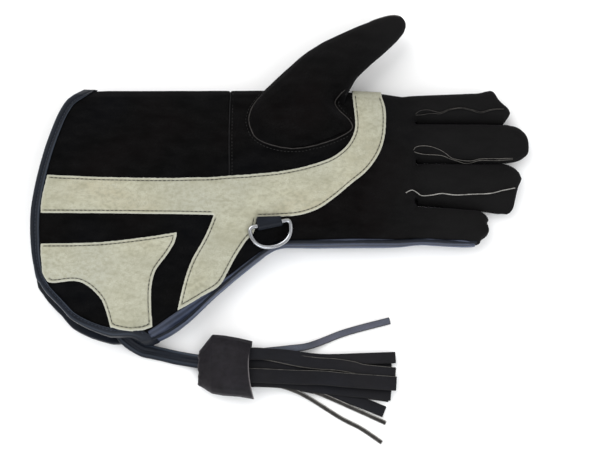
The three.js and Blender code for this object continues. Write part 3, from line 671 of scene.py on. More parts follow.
def sideways(line: np.ndarray) -> np.ndarray:
    """Unit vectors to the left of a line, seen from above."""
    along = np.gradient(line[:, :2], axis=0)
    along /= np.maximum(np.linalg.norm(along, axis=1, keepdims=True), 1e-9)
    return np.stack([-along[:, 1], along[:, 0]], axis=1)


def softened(values: np.ndarray, reach: int) -> np.ndarray:
    """A running mean over a window of 2 * reach + 1."""
    padded = np.pad(values, reach, mode="edge")
    return np.convolve(padded, np.ones(2 * reach + 1) / (2 * reach + 1), mode="valid")


def bell(distance: np.ndarray, width: float) -> np.ndarray:
    """A bump that is 1 at no distance and fades out over the width."""
    return np.exp(-((distance / width) ** 2))


def eased(share: np.ndarray) -> np.ndarray:
    """A share from 0 to 1 with a soft start and end."""
    return share * share * (3 - 2 * share)


def ripples(*axes: Any) -> np.ndarray:
    """Smooth noise at each place, from about -1 to 1, by its three coordinates."""
    return np.array([noise.noise(Vector(row)) for row in zip(*np.broadcast_arrays(*axes))])


class Nearest:
    """Finds the nearest of a line's points, in plan."""

    def __init__(self, line: np.ndarray) -> None:
        """Takes the line's points, in millimetres."""
        self.tree = KDTree(len(line))
        for i, (x, y) in enumerate(line[:, :2]):
            self.tree.insert((x, y, 0), i)
        self.tree.balance()

    def to(self, points: np.ndarray) -> tuple[np.ndarray, np.ndarray]:
        """Looks for each of many points.

        Args:
            points: Points in millimetres.

        Returns:
            The numbers of the nearest line points, and how far away they are.
        """
        found = [self.tree.find((x, y, 0)) for x, y in points[:, :2]]
        return np.array([hit[1] for hit in found], int), np.array([hit[2] for hit in found], float)


class Surface:
    """The outer surface of several pieces, for laying seams and strips on it."""

    def __init__(self, pieces: Iterable[bpy.types.Object]) -> None:
        """Collects the pieces' faces.

        Args:
            pieces: The pieces that can be laid on.
        """
        vertices: list[Vector] = []
        faces: list[tuple[int, ...]] = []
        for piece in pieces:
            start = len(vertices)
            vertices += [vertex.co.copy() for vertex in piece.data.vertices]
            faces += [tuple(start + i for i in face.vertices) for face in piece.data.polygons]
        self.tree = BVHTree.FromPolygons(vertices, faces)

    def heights(self, line: np.ndarray, soften: int = 2) -> np.ndarray:
        """The surface's height under each plan point.

        Args:
            line: Plan points in millimetres.
            soften: The reach of the smoothing.

        Returns:
            Heights in millimetres.
        """
        around = ((0, 0), (1.3, 0), (-1.3, 0), (0, 1.3), (0, -1.3))
        found = []
        for x, y in line[:, :2]:
            levels = []
            for dx, dy in around:
                above = Vector((x + dx, y + dy, 90)) * MM
                hit = self.tree.ray_cast(above, Vector((0, 0, -1)))[0]
                if hit:
                    levels.append(hit.z / MM)
            top = max(levels, default=math.nan)
            found.append(levels[0] if levels and levels[0] > top - 2.5 else top)
        values = np.array(found)
        good = ~np.isnan(values)
        values = np.interp(np.arange(len(values)), np.flatnonzero(good), values[good])
        return softened(values, soften) if soften else values

    def from_side(self, point: Point3, towards: Point3) -> Vector | None:
        """The first place that a ray meets, in metres."""
        return self.tree.ray_cast(Vector(point) * MM, Vector(towards).normalized())[0]


def drawn(
    name: str,
    line: np.ndarray,
    half_width: float = 0,
    radius: float = 0,
    tilt: float = 0,
    radii: np.ndarray | None = None,
    closed: bool = False,
    sides: int = 3,
) -> bpy.types.Object:
    """A ribbon or a round cord along a line, as a mesh.

    Args:
        name: The piece's name.
        line: Points in millimetres, with heights.
        half_width: Half of a ribbon's width, or 0 for a cord.
        radius: A cord's radius, or 0 for a ribbon.
        tilt: The ribbon's turn about its line, 0 for one on edge.
        radii: A share of the width for each point.
        closed: Whether the line joins up.
        sides: The bevel's resolution.

    Returns:
        The new piece.
    """
    bpy.ops.object.select_all(action="DESELECT")
    bpy.ops.curve.primitive_nurbs_path_add()
    piece = bpy.context.object
    piece.name = name
    curve = piece.data
    curve.splines.clear()
    curve.dimensions = "3D"
    curve.twist_mode = "Z_UP"
    curve.extrude = half_width * MM
    curve.bevel_depth = radius * MM
    curve.bevel_resolution = sides
    curve.use_fill_caps = True
    path = curve.splines.new("POLY")
    path.points.add(len(line) - 1)
    path.use_cyclic_u = closed
    for i, point in enumerate(path.points):
        x, y, z = line[i][:3] * MM
        point.co = (x, y, z, 1)
        point.tilt = tilt
        point.radius = 1 if radii is None else float(radii[i])
    bpy.ops.object.convert(target="MESH")
    return bpy.context.object


def joined(name: str, pieces: Sequence[bpy.types.Object]) -> bpy.types.Object:
    """Joins several pieces into the first, under a new name."""
    bpy.ops.object.select_all(action="DESELECT")
    for piece in pieces:
        piece.select_set(True)
    bpy.context.view_layer.objects.active = pieces[0]
    if len(pieces) > 1:
        bpy.ops.object.join()
    pieces[0].name = name
    return pieces[0]


def ribbon(
    name: str,
    line: np.ndarray,
    width: float,
    thickness: float,
    tilt: float,
    materials: Sequence[bpy.types.Material],
    radii: np.ndarray | None = None,
) -> bpy.types.Object:
    """A strip of leather whose cut edges have their own material.

    Args:
        name: The piece's name.
        line: Points in millimetres, with heights.
        width: The strip's width.
        thickness: Its leather.
        tilt: 0 for a strip on edge, a quarter turn for a flat one.
        materials: The faces' material and the cut edges' material.
        radii: A share of the width for each point.

    Returns:
        The new piece.
    """
    piece = drawn(name, line, half_width=width / 2, tilt=tilt, radii=radii)
    edit(
        piece,
        (bpy.ops.mesh.remove_doubles, {"threshold": 1e-7}),
        (bpy.ops.mesh.subdivide, {"number_cuts": 1}),
    )
    for material in materials:
        piece.data.materials.append(material)
    modify(piece, "SOLIDIFY", thickness=thickness * MM, offset=0, material_offset_rim=1)
    edit(piece, (bpy.ops.mesh.normals_make_consistent, {"inside": False}))
    cut = 0.28 * thickness * MM
    modify(piece, "BEVEL", width=cut, segments=2, limit_method="ANGLE", angle_limit=0.9, material=1)
    return piece


# ---------------------------------------------------------------------- relief


@dataclass(frozen=True)
class Crease:
    """A soft fold in the leather between two plan points, down where its depth is positive."""

    start: Point
    end: Point
    width: float
    depth: float

    def at(self, x: np.ndarray, y: np.ndarray) -> np.ndarray:
        """How deep the fold is at each plan point, in millimetres."""
        a, b = np.array(self.start), np.array(self.end)
        run = b - a
        points = np.stack([x, y], axis=1) - a
        share = np.clip(points @ run / (run @ run), 0, 1)
        away = np.linalg.norm(points - share[:, None] * run, axis=1)
        return self.depth * bell(away, self.width) * (0.35 + 0.65 * np.sin(math.pi * share))


@dataclass(frozen=True)
class Pull:
    """A soft shift of whatever lies around a plan point."""

    place: Point
    shift: Point
    reach: float

    def apply(self, points: np.ndarray) -> None:
        """Shifts points in millimetres, in place."""
        share = bell(np.hypot(*(points[:, :2] - self.place).T), self.reach)
        points[:, :2] += share[:, None] * self.shift


@dataclass(frozen=True)
class Relief:
    """The hand's soft unevenness, the same for every layer that lies on another."""

    swell: float = 0.9
    swell_size: float = 46
    ripple: float = 0.3
    ripple_size: float = 15
    creases: tuple[Crease, ...] = (
        Crease((-58, -40), (-46, 40), 7, 1.1),
        Crease((-30, -52), (-24, 8), 6, 0.8),
        Crease((-84, 10), (-62, 60), 9, 0.9),
        Crease((60, 8), (92, -34), 9, 0.9),
        Crease((66, 26), (96, 22), 8, 0.8),
        Crease((84, -48), (98, 50), 6, 0.7),
        Crease((-120, -30), (-100, 52), 14, -0.8),
        Crease((62, 92), (74, 82), 6, 0.9),
        Crease((34, 74), (52, 62), 7, 0.8),
        Crease((104, 20.8), (122, 19.6), 2.6, 2.4),
        Crease((108, 51.6), (115, 52.2), 1.8, 1.6),
    )
    ring_place: Point = (-8, -50)
    ring_reach: float = 20
    pulls: tuple[Pull, ...] = (
        Pull((-128, -124), (0, -1.5), 18), Pull((-168, -100), (1, 0.9), 13),
        Pull((-192, -30), (-0.9, 0), 30),
    )
    rise: float = 1.1

    def settle(self, points: np.ndarray) -> None:
        """Moves the cuff's outline to where it really lies.

        Args:
            points: Points in millimetres, changed in place.
        """
        for pull in self.pulls:
            pull.apply(points)
        x, y = points[:, 0], points[:, 1]
        points[:, 1] += self.rise * np.clip((y - 50) / 16, 0, 1) * np.clip((25 - x) / 30, 0, 1)

    def apply(self, piece: bpy.types.Object) -> None:
        """Moves a piece's upper side up and down.

        Args:
            piece: The piece, in metres.
        """
        points = coordinates(piece)
        x, y, z = (points / MM).T
        lift = self.swell * ripples(x / self.swell_size, y / self.swell_size, 0.3)
        lift += self.ripple * ripples(x / self.ripple_size, y / self.ripple_size, 7.1)
        for crease in self.creases:
            lift -= crease.at(x, y)
        near_ring = np.hypot(x - self.ring_place[0], y - self.ring_place[1]) / self.ring_reach
        lift *= np.clip(near_ring - 0.6, 0, 1)
        weight = np.clip((z - 6) / 9, 0, 1)
        points[:, 2] += lift * eased(weight) * MM
        points /= MM
        self.settle(points)
        place_vertices(piece, points * MM)


RELIEF = Relief()


# ------------------------------------------------------------------ the mouth


@dataclass(frozen=True)
class Mouth:
    """The cuff's mouth in plan, on the palm side and on the back."""

    front: tuple[Point, ...] = (
        (-138, 89.4), (-150.6, 70.7), (-166, 56.6), (-175.8, 31.7), (-183.4, 0), (-187.8, -36.7),
        (-185.6, -71), (-176.7, -92.7), (-156.4, -112.7), (-130.5, -121.7), (-107, -124.1),
        (-77.4, -142.3),
    )
    back: tuple[Point, ...] = (
        (-141, 89.4), (-153.2, 70.7), (-168.8, 56.6), (-178.8, 31.7), (-186.3, -0.3), (-190.7, -36.7),
        (-188.4, -74.3), (-178.6, -94.1), (-158.3, -115), (-132.1, -124.1), (-107, -126.5),
        (-77.4, -142.3),
    )
    facets: int = 18
    low: float = 2
    high: float = 38
    reach: float = 10
    band: float = 5.9
    narrowing: float = 0.42
    dips: tuple[Point3, ...] = (
        (-95.5, 2.2, 7), (-117, -1.7, 8), (-104, 1.3, 4.5), (-111, -1.3, 4.5), (-125, 0.8, 6),
    )

    def sides(self, line: Sequence[Point]) -> tuple[np.ndarray, np.ndarray]:
        """A side's smooth curve, and what its solid's flat facets lack of it.

        Args:
            line: The side's table.

        Returns:
            The curve's points and the facets' shortfalls, both in millimetres.
        """
        table = np.array(line)
        spans = len(table) - 1
        run = np.linspace(0, spans, CURVE_STEPS * self.facets + 1)
        smooth = along_table(table, run)
        knots = np.linspace(0, spans, self.facets + 1)
        corners = along_table(table, knots)
        flat = np.stack([np.interp(run, knots, corners[:, k]) for k in (0, 1)], axis=1)
        return smooth, smooth - flat

    def round_off(self, points: np.ndarray) -> None:
        """Moves what lies near the mouth onto its smooth curve.

        Args:
            points: Vertices in millimetres, changed in place.
        """
        line, front = self.sides(self.front)
        back = self.sides(self.back)[1]
        near = np.flatnonzero((points[:, 0] < -85) & ((points[:, 0] < -130) | (points[:, 1] < -70)))
        at, away = Nearest(line).to(points[near])
        share = np.clip((points[near, 2] - self.low) / (self.high - self.low), 0, 1)[:, None]
        shift = front[at] * share + back[at] * (1 - share)
        points[near, :2] += shift * bell(away, self.reach)[:, None]

    def outward(self, plan: np.ndarray) -> tuple[np.ndarray, np.ndarray]:
        """How far outside the palm side's line each plan point lies.

        Args:
            plan: Points in millimetres.

        Returns:
            Distances in millimetres, and the outward unit vectors.
        """
        line = spline(self.front, 0.7)
        side = -sideways(line)
        at, _ = Nearest(line).to(plan)
        return np.einsum("ij,ij->i", plan[:, :2] - line[at], side[at]), side[at]

    def narrow(self, plan: np.ndarray) -> np.ndarray:
        """How much narrower the palm side's band is on its way to the flare's corner."""
        x, y = plan[:, 0], plan[:, 1]
        return 1 - self.narrowing * np.clip((-55 - y) / 35, 0, 1) * np.clip((-98 - x) / 14, 0, 1)

    def straighten(self, points: np.ndarray, share: np.ndarray) -> None:
        """Takes the dip out of the palm side's edge beside the flare's corner.

        Args:
            points: Vertices in millimetres, changed in place.
            share: How far each of them takes part.
        """
        x, y = points[:, 0], points[:, 1]
        shift = sum(rise * bell(x - at, reach) for at, rise, reach in self.dips)
        points[:, 1] += shift * share * (y < -105)

    def follow(self, points: np.ndarray) -> None:
        """Draws what ends at the band out to its narrower stretch.

        Args:
            points: Vertices in millimetres, changed in place.
        """
        out, side = self.outward(points)
        near = np.clip(1 - (-out - self.band) / 14, 0, 1)
        shift = self.band * (1 - self.narrow(points)) * near
        points[:, :2] += side * shift[:, None]
        self.straighten(points, near)


MOUTH = Mouth()


# ---------------------------------------------------------------- suede shells


@dataclass(frozen=True)
class Web:
    """Where two fingers lie against each other: rows of x, y and the slit that stays open."""

    upper_middle: float
    lower_middle: float
    parting: Point
    upper_tip: float
    lower_tip: float
    rows: tuple[Point3, ...]


@dataclass
class SuedeShell:
    """One of the glove's three hollow suede forms."""

    node: str
    name: str
    voxel: float = 1.25
    smoothing: int = 12
    hold: float = 0.6
    seam_x: float = -40.35
    reach: float = 9
    webs: tuple[Web, ...] = ()
    pulls: tuple[Pull, ...] = ()
    root: float = 103.6

    def build(self) -> bpy.types.Object:
        """Rounds the faceted form and gives it its folds.

        Returns:
            The piece.
        """
        solid = copy_of(self.node, self.name + "_solid")
        piece = copy_of(self.node, self.name)
        round_over(piece, self.voxel, self.smoothing)
        smooth = coordinates(piece)
        modify(piece, "SHRINKWRAP", target=solid, wrap_method="NEAREST_SURFACEPOINT")
        place_vertices(piece, smooth + self.hold * (coordinates(piece) - smooth))
        bpy.data.objects.remove(solid)
        modify(piece, "SMOOTH", factor=0.5, iterations=3)
        self.close_seam(piece)
        points = coordinates(piece) / MM
        MOUTH.round_off(points)
        for web in self.webs:
            self.close_web(points, web)
        for pull in self.pulls:
            pull.apply(points)
        place_vertices(piece, points * MM)
        RELIEF.apply(piece)
        return piece

    def close_seam(self, piece: bpy.types.Object) -> None:
        """Stretches the end that was sewn to the next form until it meets it.

        Args:
            piece: The rounded form.
        """
        points = coordinates(piece)
        x = points[:, 0] / MM
        ends = [end for end in (x.min(), x.max()) if abs(end - self.seam_x) < 4]
        for end in ends:
            share = np.clip(1 - np.abs(x - end) / self.reach, 0, 1)
            points[:, 0] += (self.seam_x - end) * share * share * MM
        place_vertices(piece, points)

    def close_web(self, points: np.ndarray, web: Web) -> None:
        """Swells the sides of two fingers, low down, until they lie against each other.

        Args:
            points: Vertices in millimetres, changed in place.
            web: Where the fingers meet.
        """
        x, y, z = points.T.copy()
        stations, lines, slits = np.array(web.rows).T
        line = np.interp(x, stations, lines)
        slit = np.interp(x, stations, slits)
        fade = np.clip((x - self.root + 4) / 5, 0, 1) * np.clip((20 - z) / 11, 0, 1)
        parting = np.interp(x, (self.root, min(web.upper_tip, web.lower_tip)), web.parting)
        sides = ((1, web.upper_middle, web.upper_tip), (-1, web.lower_middle, web.lower_tip))
        for hand, middle, tip in sides:
            mine = (x > self.root - 4) & (hand * (y - parting) > -0.2) & (hand * (middle - y) > 0)
            bins = np.arange(self.root + 4, tip - 9, 2.0)
            side = []
            for start in bins:
                slab = mine & (x >= start) & (x < start + 3) & (z < 16)
                side.append(hand * (hand * y[slab]).min() if slab.any() else middle)
            here = np.interp(x, bins + 1.5, np.array(side))
            share = np.clip((middle - y) / (middle - here), 0, 1)
            move = line + hand * (slit / 2 - 0.3) - here
            points[:, 1] += np.where(mine, move * eased(share) * fade, 0)

    def finish(self, piece: bpy.types.Object, finishes: Finishes) -> None:
        """Dresses the shell, with painted light that makes it paler towards the fingertips, the back and
        the thumb's tip.

        Args:
            piece: The rounded form.
            finishes: The materials.
        """
        x, y, z = (coordinates(piece) / MM).T
        # Painted light: the suede is painted paler towards the fingertips, low down and towards the thumb's
        # side.
        worn = 0.75 * np.clip((x - 60) / 60, 0, 1) + 0.3 * np.clip((8 - z) / 8, 0, 1)
        mark(piece, "worn", worn + 0.55 * np.clip((y - 60) / 60, 0, 1))
        dress(piece, Slot.BLACK, finishes.black)
        hand_over(piece, GLOVE, self.node)


@dataclass
class HandShell(SuedeShell):
    """The palm, the back and the four fingers."""

    webs: tuple[Web, ...] = (
        Web(59, 29, (45.6, 46.1), 173, 191, (
            (103, 45.9, 0), (168, 46.2, 0), (173, 46.5, 0.4), (190, 46.5, 6),
        )),
        Web(29, -3, (13.3, 11.2), 191, 184, (
            (103, 13.8, 0), (170, 14.3, 0), (176, 14.2, 0.8), (190, 14, 6),
        )),
        Web(-3, -36.5, (-17.4, -19), 184, 156, (
            (103, -20.5, 1), (108, -21.5, 2.4), (123, -22.5, 2.4), (130, -23.5, 1.2), (140, -24.5, 1.4),
            (147, -25.5, 0.2), (160, -26.4, 0), (180, -26.6, 0),
        )),
    )
    pulls: tuple[Pull, ...] = (
        Pull((166, 69), (1, 4.4), 7), Pull((174, 58), (2.5, 0), 6), Pull((166, 49), (6.5, -0.6), 7),
        Pull((190, 28), (1.4, 0), 14), Pull((157, -29), (-0.6, 1.5), 8), Pull((150, -42), (9, -0.5), 8),
        Pull((149, -53), (3, -1.5), 5), Pull((156, -37), (1.6, 0), 5), Pull((151, -51), (2.6, 0.4), 4),
    )


@dataclass
class ThumbStall(SuedeShell):
    """The thumb, whose base is let into the hand along an oval seam."""

    settle: float = 15
    overlap: float = 0.3
    lean: Point = (-0.9, 1.2)

    def settle_base(self, piece: bpy.types.Object, seam: Sequence[Point3], hand: Surface) -> None:
        """Brings the rim of the thumb's base down to the hand, and rounds the ball above it.

        Args:
            piece: The thumb.
            seam: The oval seam's plan points.
            hand: The hand's surface.
        """
        line = spline(seam, 1.2)[:, :2]
        side = sideways(line)
        rims = [hand.heights(line - side * reach, 0) for reach in (3, 6, 9)]
        rim = softened(np.max(rims, axis=0), 4)
        points = coordinates(piece) / MM
        at, away = Nearest(line).to(points)
        inside = np.einsum("ij,ij->i", points[:, :2] - line[at], side[at]) > 0
        above = points[:, 2] - rim[at] - np.where(inside, self.overlap, 0)
        share = np.where(inside, away / self.settle, 0)
        last = len(line) - 1
        ends = np.clip(4 * at / len(line), 0, 1) * np.clip(16 * (last - at) / len(line), 0, 1)
        drop = above * (1 - share) ** 2 * ends
        moved = (away <= self.settle) & (at > 0) & (at < last) & (above > 0)
        points[:, 2] -= np.where(moved, drop, 0)
        free = np.clip((points[:, 1] - 62) / 20, 0, 1)
        points[:, :2] += free[:, None] * self.lean
        place_vertices(piece, points * MM)


@dataclass
class Gusset:
    """The palm's suede where it runs on under the thumb, in the notch of the thumb's seam."""

    low: Point = (37, 42)
    high: Point = (57, 68)
    step: float = 1.25
    sunk: float = 0.25
    leather: float = 1.0

    def build(self, hand: Surface) -> bpy.types.Object:
        """Carries the palm's height on towards the thumb.

        Args:
            hand: The hand's surface.

        Returns:
            The piece.
        """
        xs = np.arange(self.low[0], self.high[0], self.step)
        ys = np.arange(self.low[1], self.high[1], self.step)
        level = hand.heights(np.column_stack([np.full(len(ys), self.high[0] - 1), ys]), 2) - self.sunk
        rows = [[(x, y, z) for y, z in zip(ys, level)] for x in xs]
        piece = sheet_of("gusset", np.array(rows))
        modify(piece, "SOLIDIFY", thickness=self.leather * MM, offset=-1)
        return piece


# -------------------------------------------------------------------- stitches


@dataclass
class Stitching:
    """Rows of single thread stitches, sunk into what they hold."""

    length: float = 2.5
    pitch: float = 3.3
    thick: float = 0.62
    sink: float = 0.12

    def unit(self) -> tuple[np.ndarray, list[tuple[int, ...]]]:
        """One stitch along X, as vertices in millimetres and faces."""
        bpy.ops.object.select_all(action="DESELECT")
        bpy.ops.mesh.primitive_uv_sphere_add(segments=8, ring_count=5, radius=0.5)
        bead = bpy.context.object
        points = coordinates(bead)
        points = points[:, [2, 0, 1]] * np.array([self.length, self.thick, self.thick])
        faces = [tuple(face.vertices) for face in bead.data.polygons]
        bpy.data.objects.remove(bead)
        return points, faces

    def sew(self, name: str, lines: Sequence[np.ndarray], surface: Surface) -> bpy.types.Object:
        """Sews along plan lines on a surface.

        Args:
            name: The piece's name.
            lines: Plan lines in millimetres.
            surface: What the stitches lie on.

        Returns:
            The stitches, as one piece.
        """
        bead, faces = self.unit()
        vertices: list[np.ndarray] = []
        polygons: list[tuple[int, ...]] = []
        for line in lines:
            if len(line) < 3:
                continue
            row = even(line[:, :2], self.pitch)
            heights = surface.heights(row, 1)
            for i in range(len(row) - 1):
                a = np.array([*row[i], heights[i]])
                b = np.array([*row[i + 1], heights[i + 1]])
                along = (b - a) / np.linalg.norm(b - a)
                side = np.cross((0, 0, 1), along)
                side /= np.linalg.norm(side)
                up = np.cross(along, side)
                middle = (a + b) / 2 - up * (self.sink - 0.1)
                start = len(vertices) * len(bead)
                vertices.append(middle + bead @ np.stack([along, side, up]))
                polygons += [tuple(start + k for k in face) for face in faces]
        piece = new_piece(name, np.vstack(vertices), polygons)
        edit(piece, (bpy.ops.mesh.normals_make_consistent, {"inside": False}))
        return piece


# -------------------------------------------------------------------- overlays


@dataclass
class Overlay:
    """A cream suede piece sewn flat on the palm side, with a row of stitches inside its edge."""

    node: str
    name: str
    voxel: float = 0.6
    stitch_inset: float = 2.3
    groove: float = 0.36
    groove_width: float = 0.6
    pressed: float = 0.3
    pucker: float = 0.1
    mouth_x: float = -150
    index_edge: float = 64
    sharp: float = 0.95
    rim: np.ndarray = field(init=False)

    def outline(self, piece: bpy.types.Object) -> np.ndarray:
        """The corners of the upper face's cut edge, in order.

        Args:
            piece: The merged copy of the CAD node.

        Returns:
            One row for each corner, in millimetres.
        """
        mesh = piece.data
        upper = {face.index for face in mesh.polygons if face.normal.z > 0.4}
        count: dict[tuple[int, int], int] = {}
        for index in upper:
            for key in mesh.polygons[index].edge_keys:
                count[key] = count.get(key, 0) + 1
        links: dict[int, list[int]] = {}
        for (a, b), uses in count.items():
            if uses == 1:
                links.setdefault(a, []).append(b)
                links.setdefault(b, []).append(a)
        longest: list[int] = []
        left = set(links)
        while left:
            start = left.pop()
            chain, here = [start], start
            while True:
                ahead = [k for k in links[here] if k in left]
                if not ahead:
                    break
                here = ahead[0]
                left.discard(here)
                chain.append(here)
            if len(chain) > len(longest):
                longest = chain
        return np.array([list(mesh.vertices[i].co) for i in longest]) / MM

    def rounded(self, corners: np.ndarray) -> tuple[np.ndarray, np.ndarray]:
        """The faceted outline and how far a smooth cut lies from it.

        Args:
            corners: The outline's corner points, in millimetres.

        Returns:
            The outline's points and their shifts.
        """
        kept = [corners[0]]
        for i in range(1, len(corners)):
            ahead = corners[(i + 1) % len(corners)]
            run, part = ahead[:2] - kept[-1][:2], corners[i][:2] - kept[-1][:2]
            off = abs(run[0] * part[1] - run[1] * part[0]) / max(np.linalg.norm(run), 1e-6)
            if off > 0.06:
                kept.append(corners[i])
        knots = np.array(kept)[:, :2]
        count = len(knots)
        before, after = np.roll(knots, 1, 0), np.roll(knots, -1, 0)
        a, b = knots - before, after - knots
        turn = np.abs(np.arctan2(a[:, 0] * b[:, 1] - a[:, 1] * b[:, 0], np.einsum("ij,ij->i", a, b)))
        lengths_a, lengths_b = np.linalg.norm(a, axis=1), np.linalg.norm(b, axis=1)
        tangent = a / lengths_a[:, None] * lengths_b[:, None] + b / lengths_b[:, None] * lengths_a[:, None]
        tangent /= (lengths_a + lengths_b)[:, None]
        flat, shift = [], []
        share = np.linspace(0, 1, 20, endpoint=False)[:, None]
        for i in range(count):
            k = (i + 1) % count
            chord = knots[k] - knots[i]
            length = np.linalg.norm(chord)
            start = tangent[i] * length if turn[i] < self.sharp else chord
            end = tangent[k] * length if turn[k] < self.sharp else chord
            smooth = (
                knots[i] * (2 * share**3 - 3 * share**2 + 1) + start * (share**3 - 2 * share**2 + share)
                + knots[k] * (3 * share**2 - 2 * share**3) + end * (share**3 - share**2)
            )
            straight = knots[i] + chord * share
            flat.append(straight)
            shift.append(np.clip(smooth - straight, -1.5, 1.5))
        return np.vstack(flat), np.vstack(shift)

    def stitch_lines(self) -> list[np.ndarray]:
        """The stitched lines inside the outline, without the mouth's end and the index side.

        Returns:
            Plan lines in millimetres.
        """
        rim = self.rim
        smooth = np.stack([softened(rim[:, k], 2) for k in (0, 1)], axis=1)
        area = np.sum(rim[:-1, 0] * rim[1:, 1] - rim[1:, 0] * rim[:-1, 1])
        inner = smooth + sideways(smooth) * math.copysign(self.stitch_inset, area)
        clear = Nearest(rim).to(inner)[1] > 0.93 * self.stitch_inset
        along = np.abs(np.gradient(smooth[:, 1])) > 0.75
        clear &= ~(along & (smooth[:, 0] < self.mouth_x))
        clear &= smooth[:, 1] < self.index_edge
        RELIEF.settle(inner)
        lines, run = [], []
        for point, good in zip(inner, clear):
            if good and (not run or np.linalg.norm(point - run[-1]) < 4):
                run.append(point)
            else:
                if len(run) > 6:
                    lines.append(np.array(run))
                run = [point] if good else []
        if len(run) > 6:
            lines.append(np.array(run))
        return lines

    def build(self) -> bpy.types.Object:
        """Lays the suede on the palm, with its edge pressed down and a sewn groove.

        Returns:
            The piece.
        """
        piece = copy_of(self.node, self.name)
        flat, shift = self.rounded(self.outline(piece))
        round_over(piece, self.voxel, 5)
        plan = coordinates(piece) / MM
        at, away = Nearest(flat).to(plan)
        plan[:, :2] += shift[at] * np.where(away < 8, bell(away, 4), 0)[:, None]
        cut = flat + shift
        rim = np.column_stack([cut, np.full(len(cut), MOUTH.high)])
        rim = np.vstack([rim, rim[:1]])
        for points in (plan, rim):
            MOUTH.round_off(points)
            MOUTH.follow(points)
        self.rim = even(rim, 1.0)
        place_vertices(piece, plan * MM)
        upper = normals(piece)[:, 2] > 0.2
        to_rim = Nearest(even(self.rim, 0.5)).to(plan)[1]
        sewn = np.vstack([even(line, 0.5) for line in self.stitch_lines()])
        settled = plan.copy()
        RELIEF.settle(settled)
        to_seam = Nearest(sewn).to(settled)[1]
        drop = self.groove * bell(to_seam, self.groove_width) + self.pressed * bell(to_rim, 0.7)
        drop += self.pucker * ripples(plan[:, 0] / 3.1, plan[:, 1] / 3.1, 2.2) * bell(to_seam, 2.4)
        plan[:, 2] -= np.where(upper, drop, 0)
        place_vertices(piece, plan * MM)
        mark(piece, "edge", np.clip(1.25 - to_rim / 1.2, 0, 1) * 0.8)
        # Painted shade: the suede is painted darker along the sewn groove.
        mark(piece, "groove", np.where(upper, 0.8 * bell(to_seam, 0.42), 0))
        RELIEF.apply(piece)
        return piece

    def finish(self, piece: bpy.types.Object, finishes: Finishes) -> None:
        """Dresses the overlay and sews it on.

        Args:
            piece: The overlay.
            finishes: The materials.
        """
        dress(piece, Slot.CREAM, finishes.cream)
        hand_over(piece, GLOVE, self.node)
        thread = Stitching().sew(self.name + "_stitches", self.stitch_lines(), Surface([piece]))
        dress(thread, Slot.BLACK, finishes.thread)
        hand_over(thread, GLOVE)


# ----------------------------------------------------------------- mouth edge


@dataclass
class MouthBinding:
    """Navy leather folded over the cuff's mouth, with a sewn channel along its middle."""

    node: str = "cuff_binding"
    voxel: float = 0.55
    channel: float = -2.9
    channel_depth: float = 0.5
    channel_width: float = 0.75
    # Where the painted highlight lines lie: in from the mouth's edge, and out at its rim.
    fold: float = 5.2
    rim: float = 0.9

    def build(self) -> bpy.types.Object:
        """Rounds the folded band, presses its channel in and paints its highlight lines.

        Returns:
            The piece.
        """
        piece = copy_of(self.node, "navy_binding")
        round_over(piece, self.voxel, 7)
        plan = coordinates(piece) / MM
        MOUTH.round_off(plan)
        facing = normals(piece)
        out, side = MOUTH.outward(plan)
        palm = np.clip((plan[:, 2] - 20) / 8, 0, 1)
        inside = np.clip(-out, 0, 8) * (1 - MOUTH.narrow(plan)) * palm
        plan[:, :2] += side * inside[:, None]
        MOUTH.straighten(plan, palm * np.clip(-out / 5, 0, 1))
        out += inside
        channel = self.channel * MOUTH.narrow(plan)
        press = self.channel_depth * bell(out - channel, self.channel_width)
        plan -= facing * (press * (np.abs(facing[:, 2]) > 0.3))[:, None]
        place_vertices(piece, plan * MM)
        # Painted highlights: pale lines along the band's inner fold and its outer rim.
        fold = bell(out + self.fold * MOUTH.narrow(plan), 0.5)
        mark(piece, "edge", np.clip(0.45 * fold + 0.35 * bell(out - self.rim, 0.6), 0, 1) * palm)
        RELIEF.apply(piece)
        return piece

    def finish(self, piece: bpy.types.Object, finishes: Finishes) -> None:
        """Dresses the binding and sews its channel.

        Args:
            piece: The binding.
            finishes: The materials.
        """
        dress(piece, Slot.NAVY, finishes.navy)
        hand_over(piece, GLOVE, self.node)
        line = spline(MOUTH.front, 1)[28:-32]
        row = line[:, :2] - sideways(line) * (self.channel * MOUTH.narrow(line))[:, None]
        RELIEF.settle(row)
        thread = Stitching(length=2.2, pitch=2.9, thick=0.5).sew(
            "binding_stitches", [row], Surface([piece])
        )
        dress(thread, Slot.NAVY, finishes.thread_navy)
        hand_over(thread, GLOVE)


# ------------------------------------------------------------------ side seam


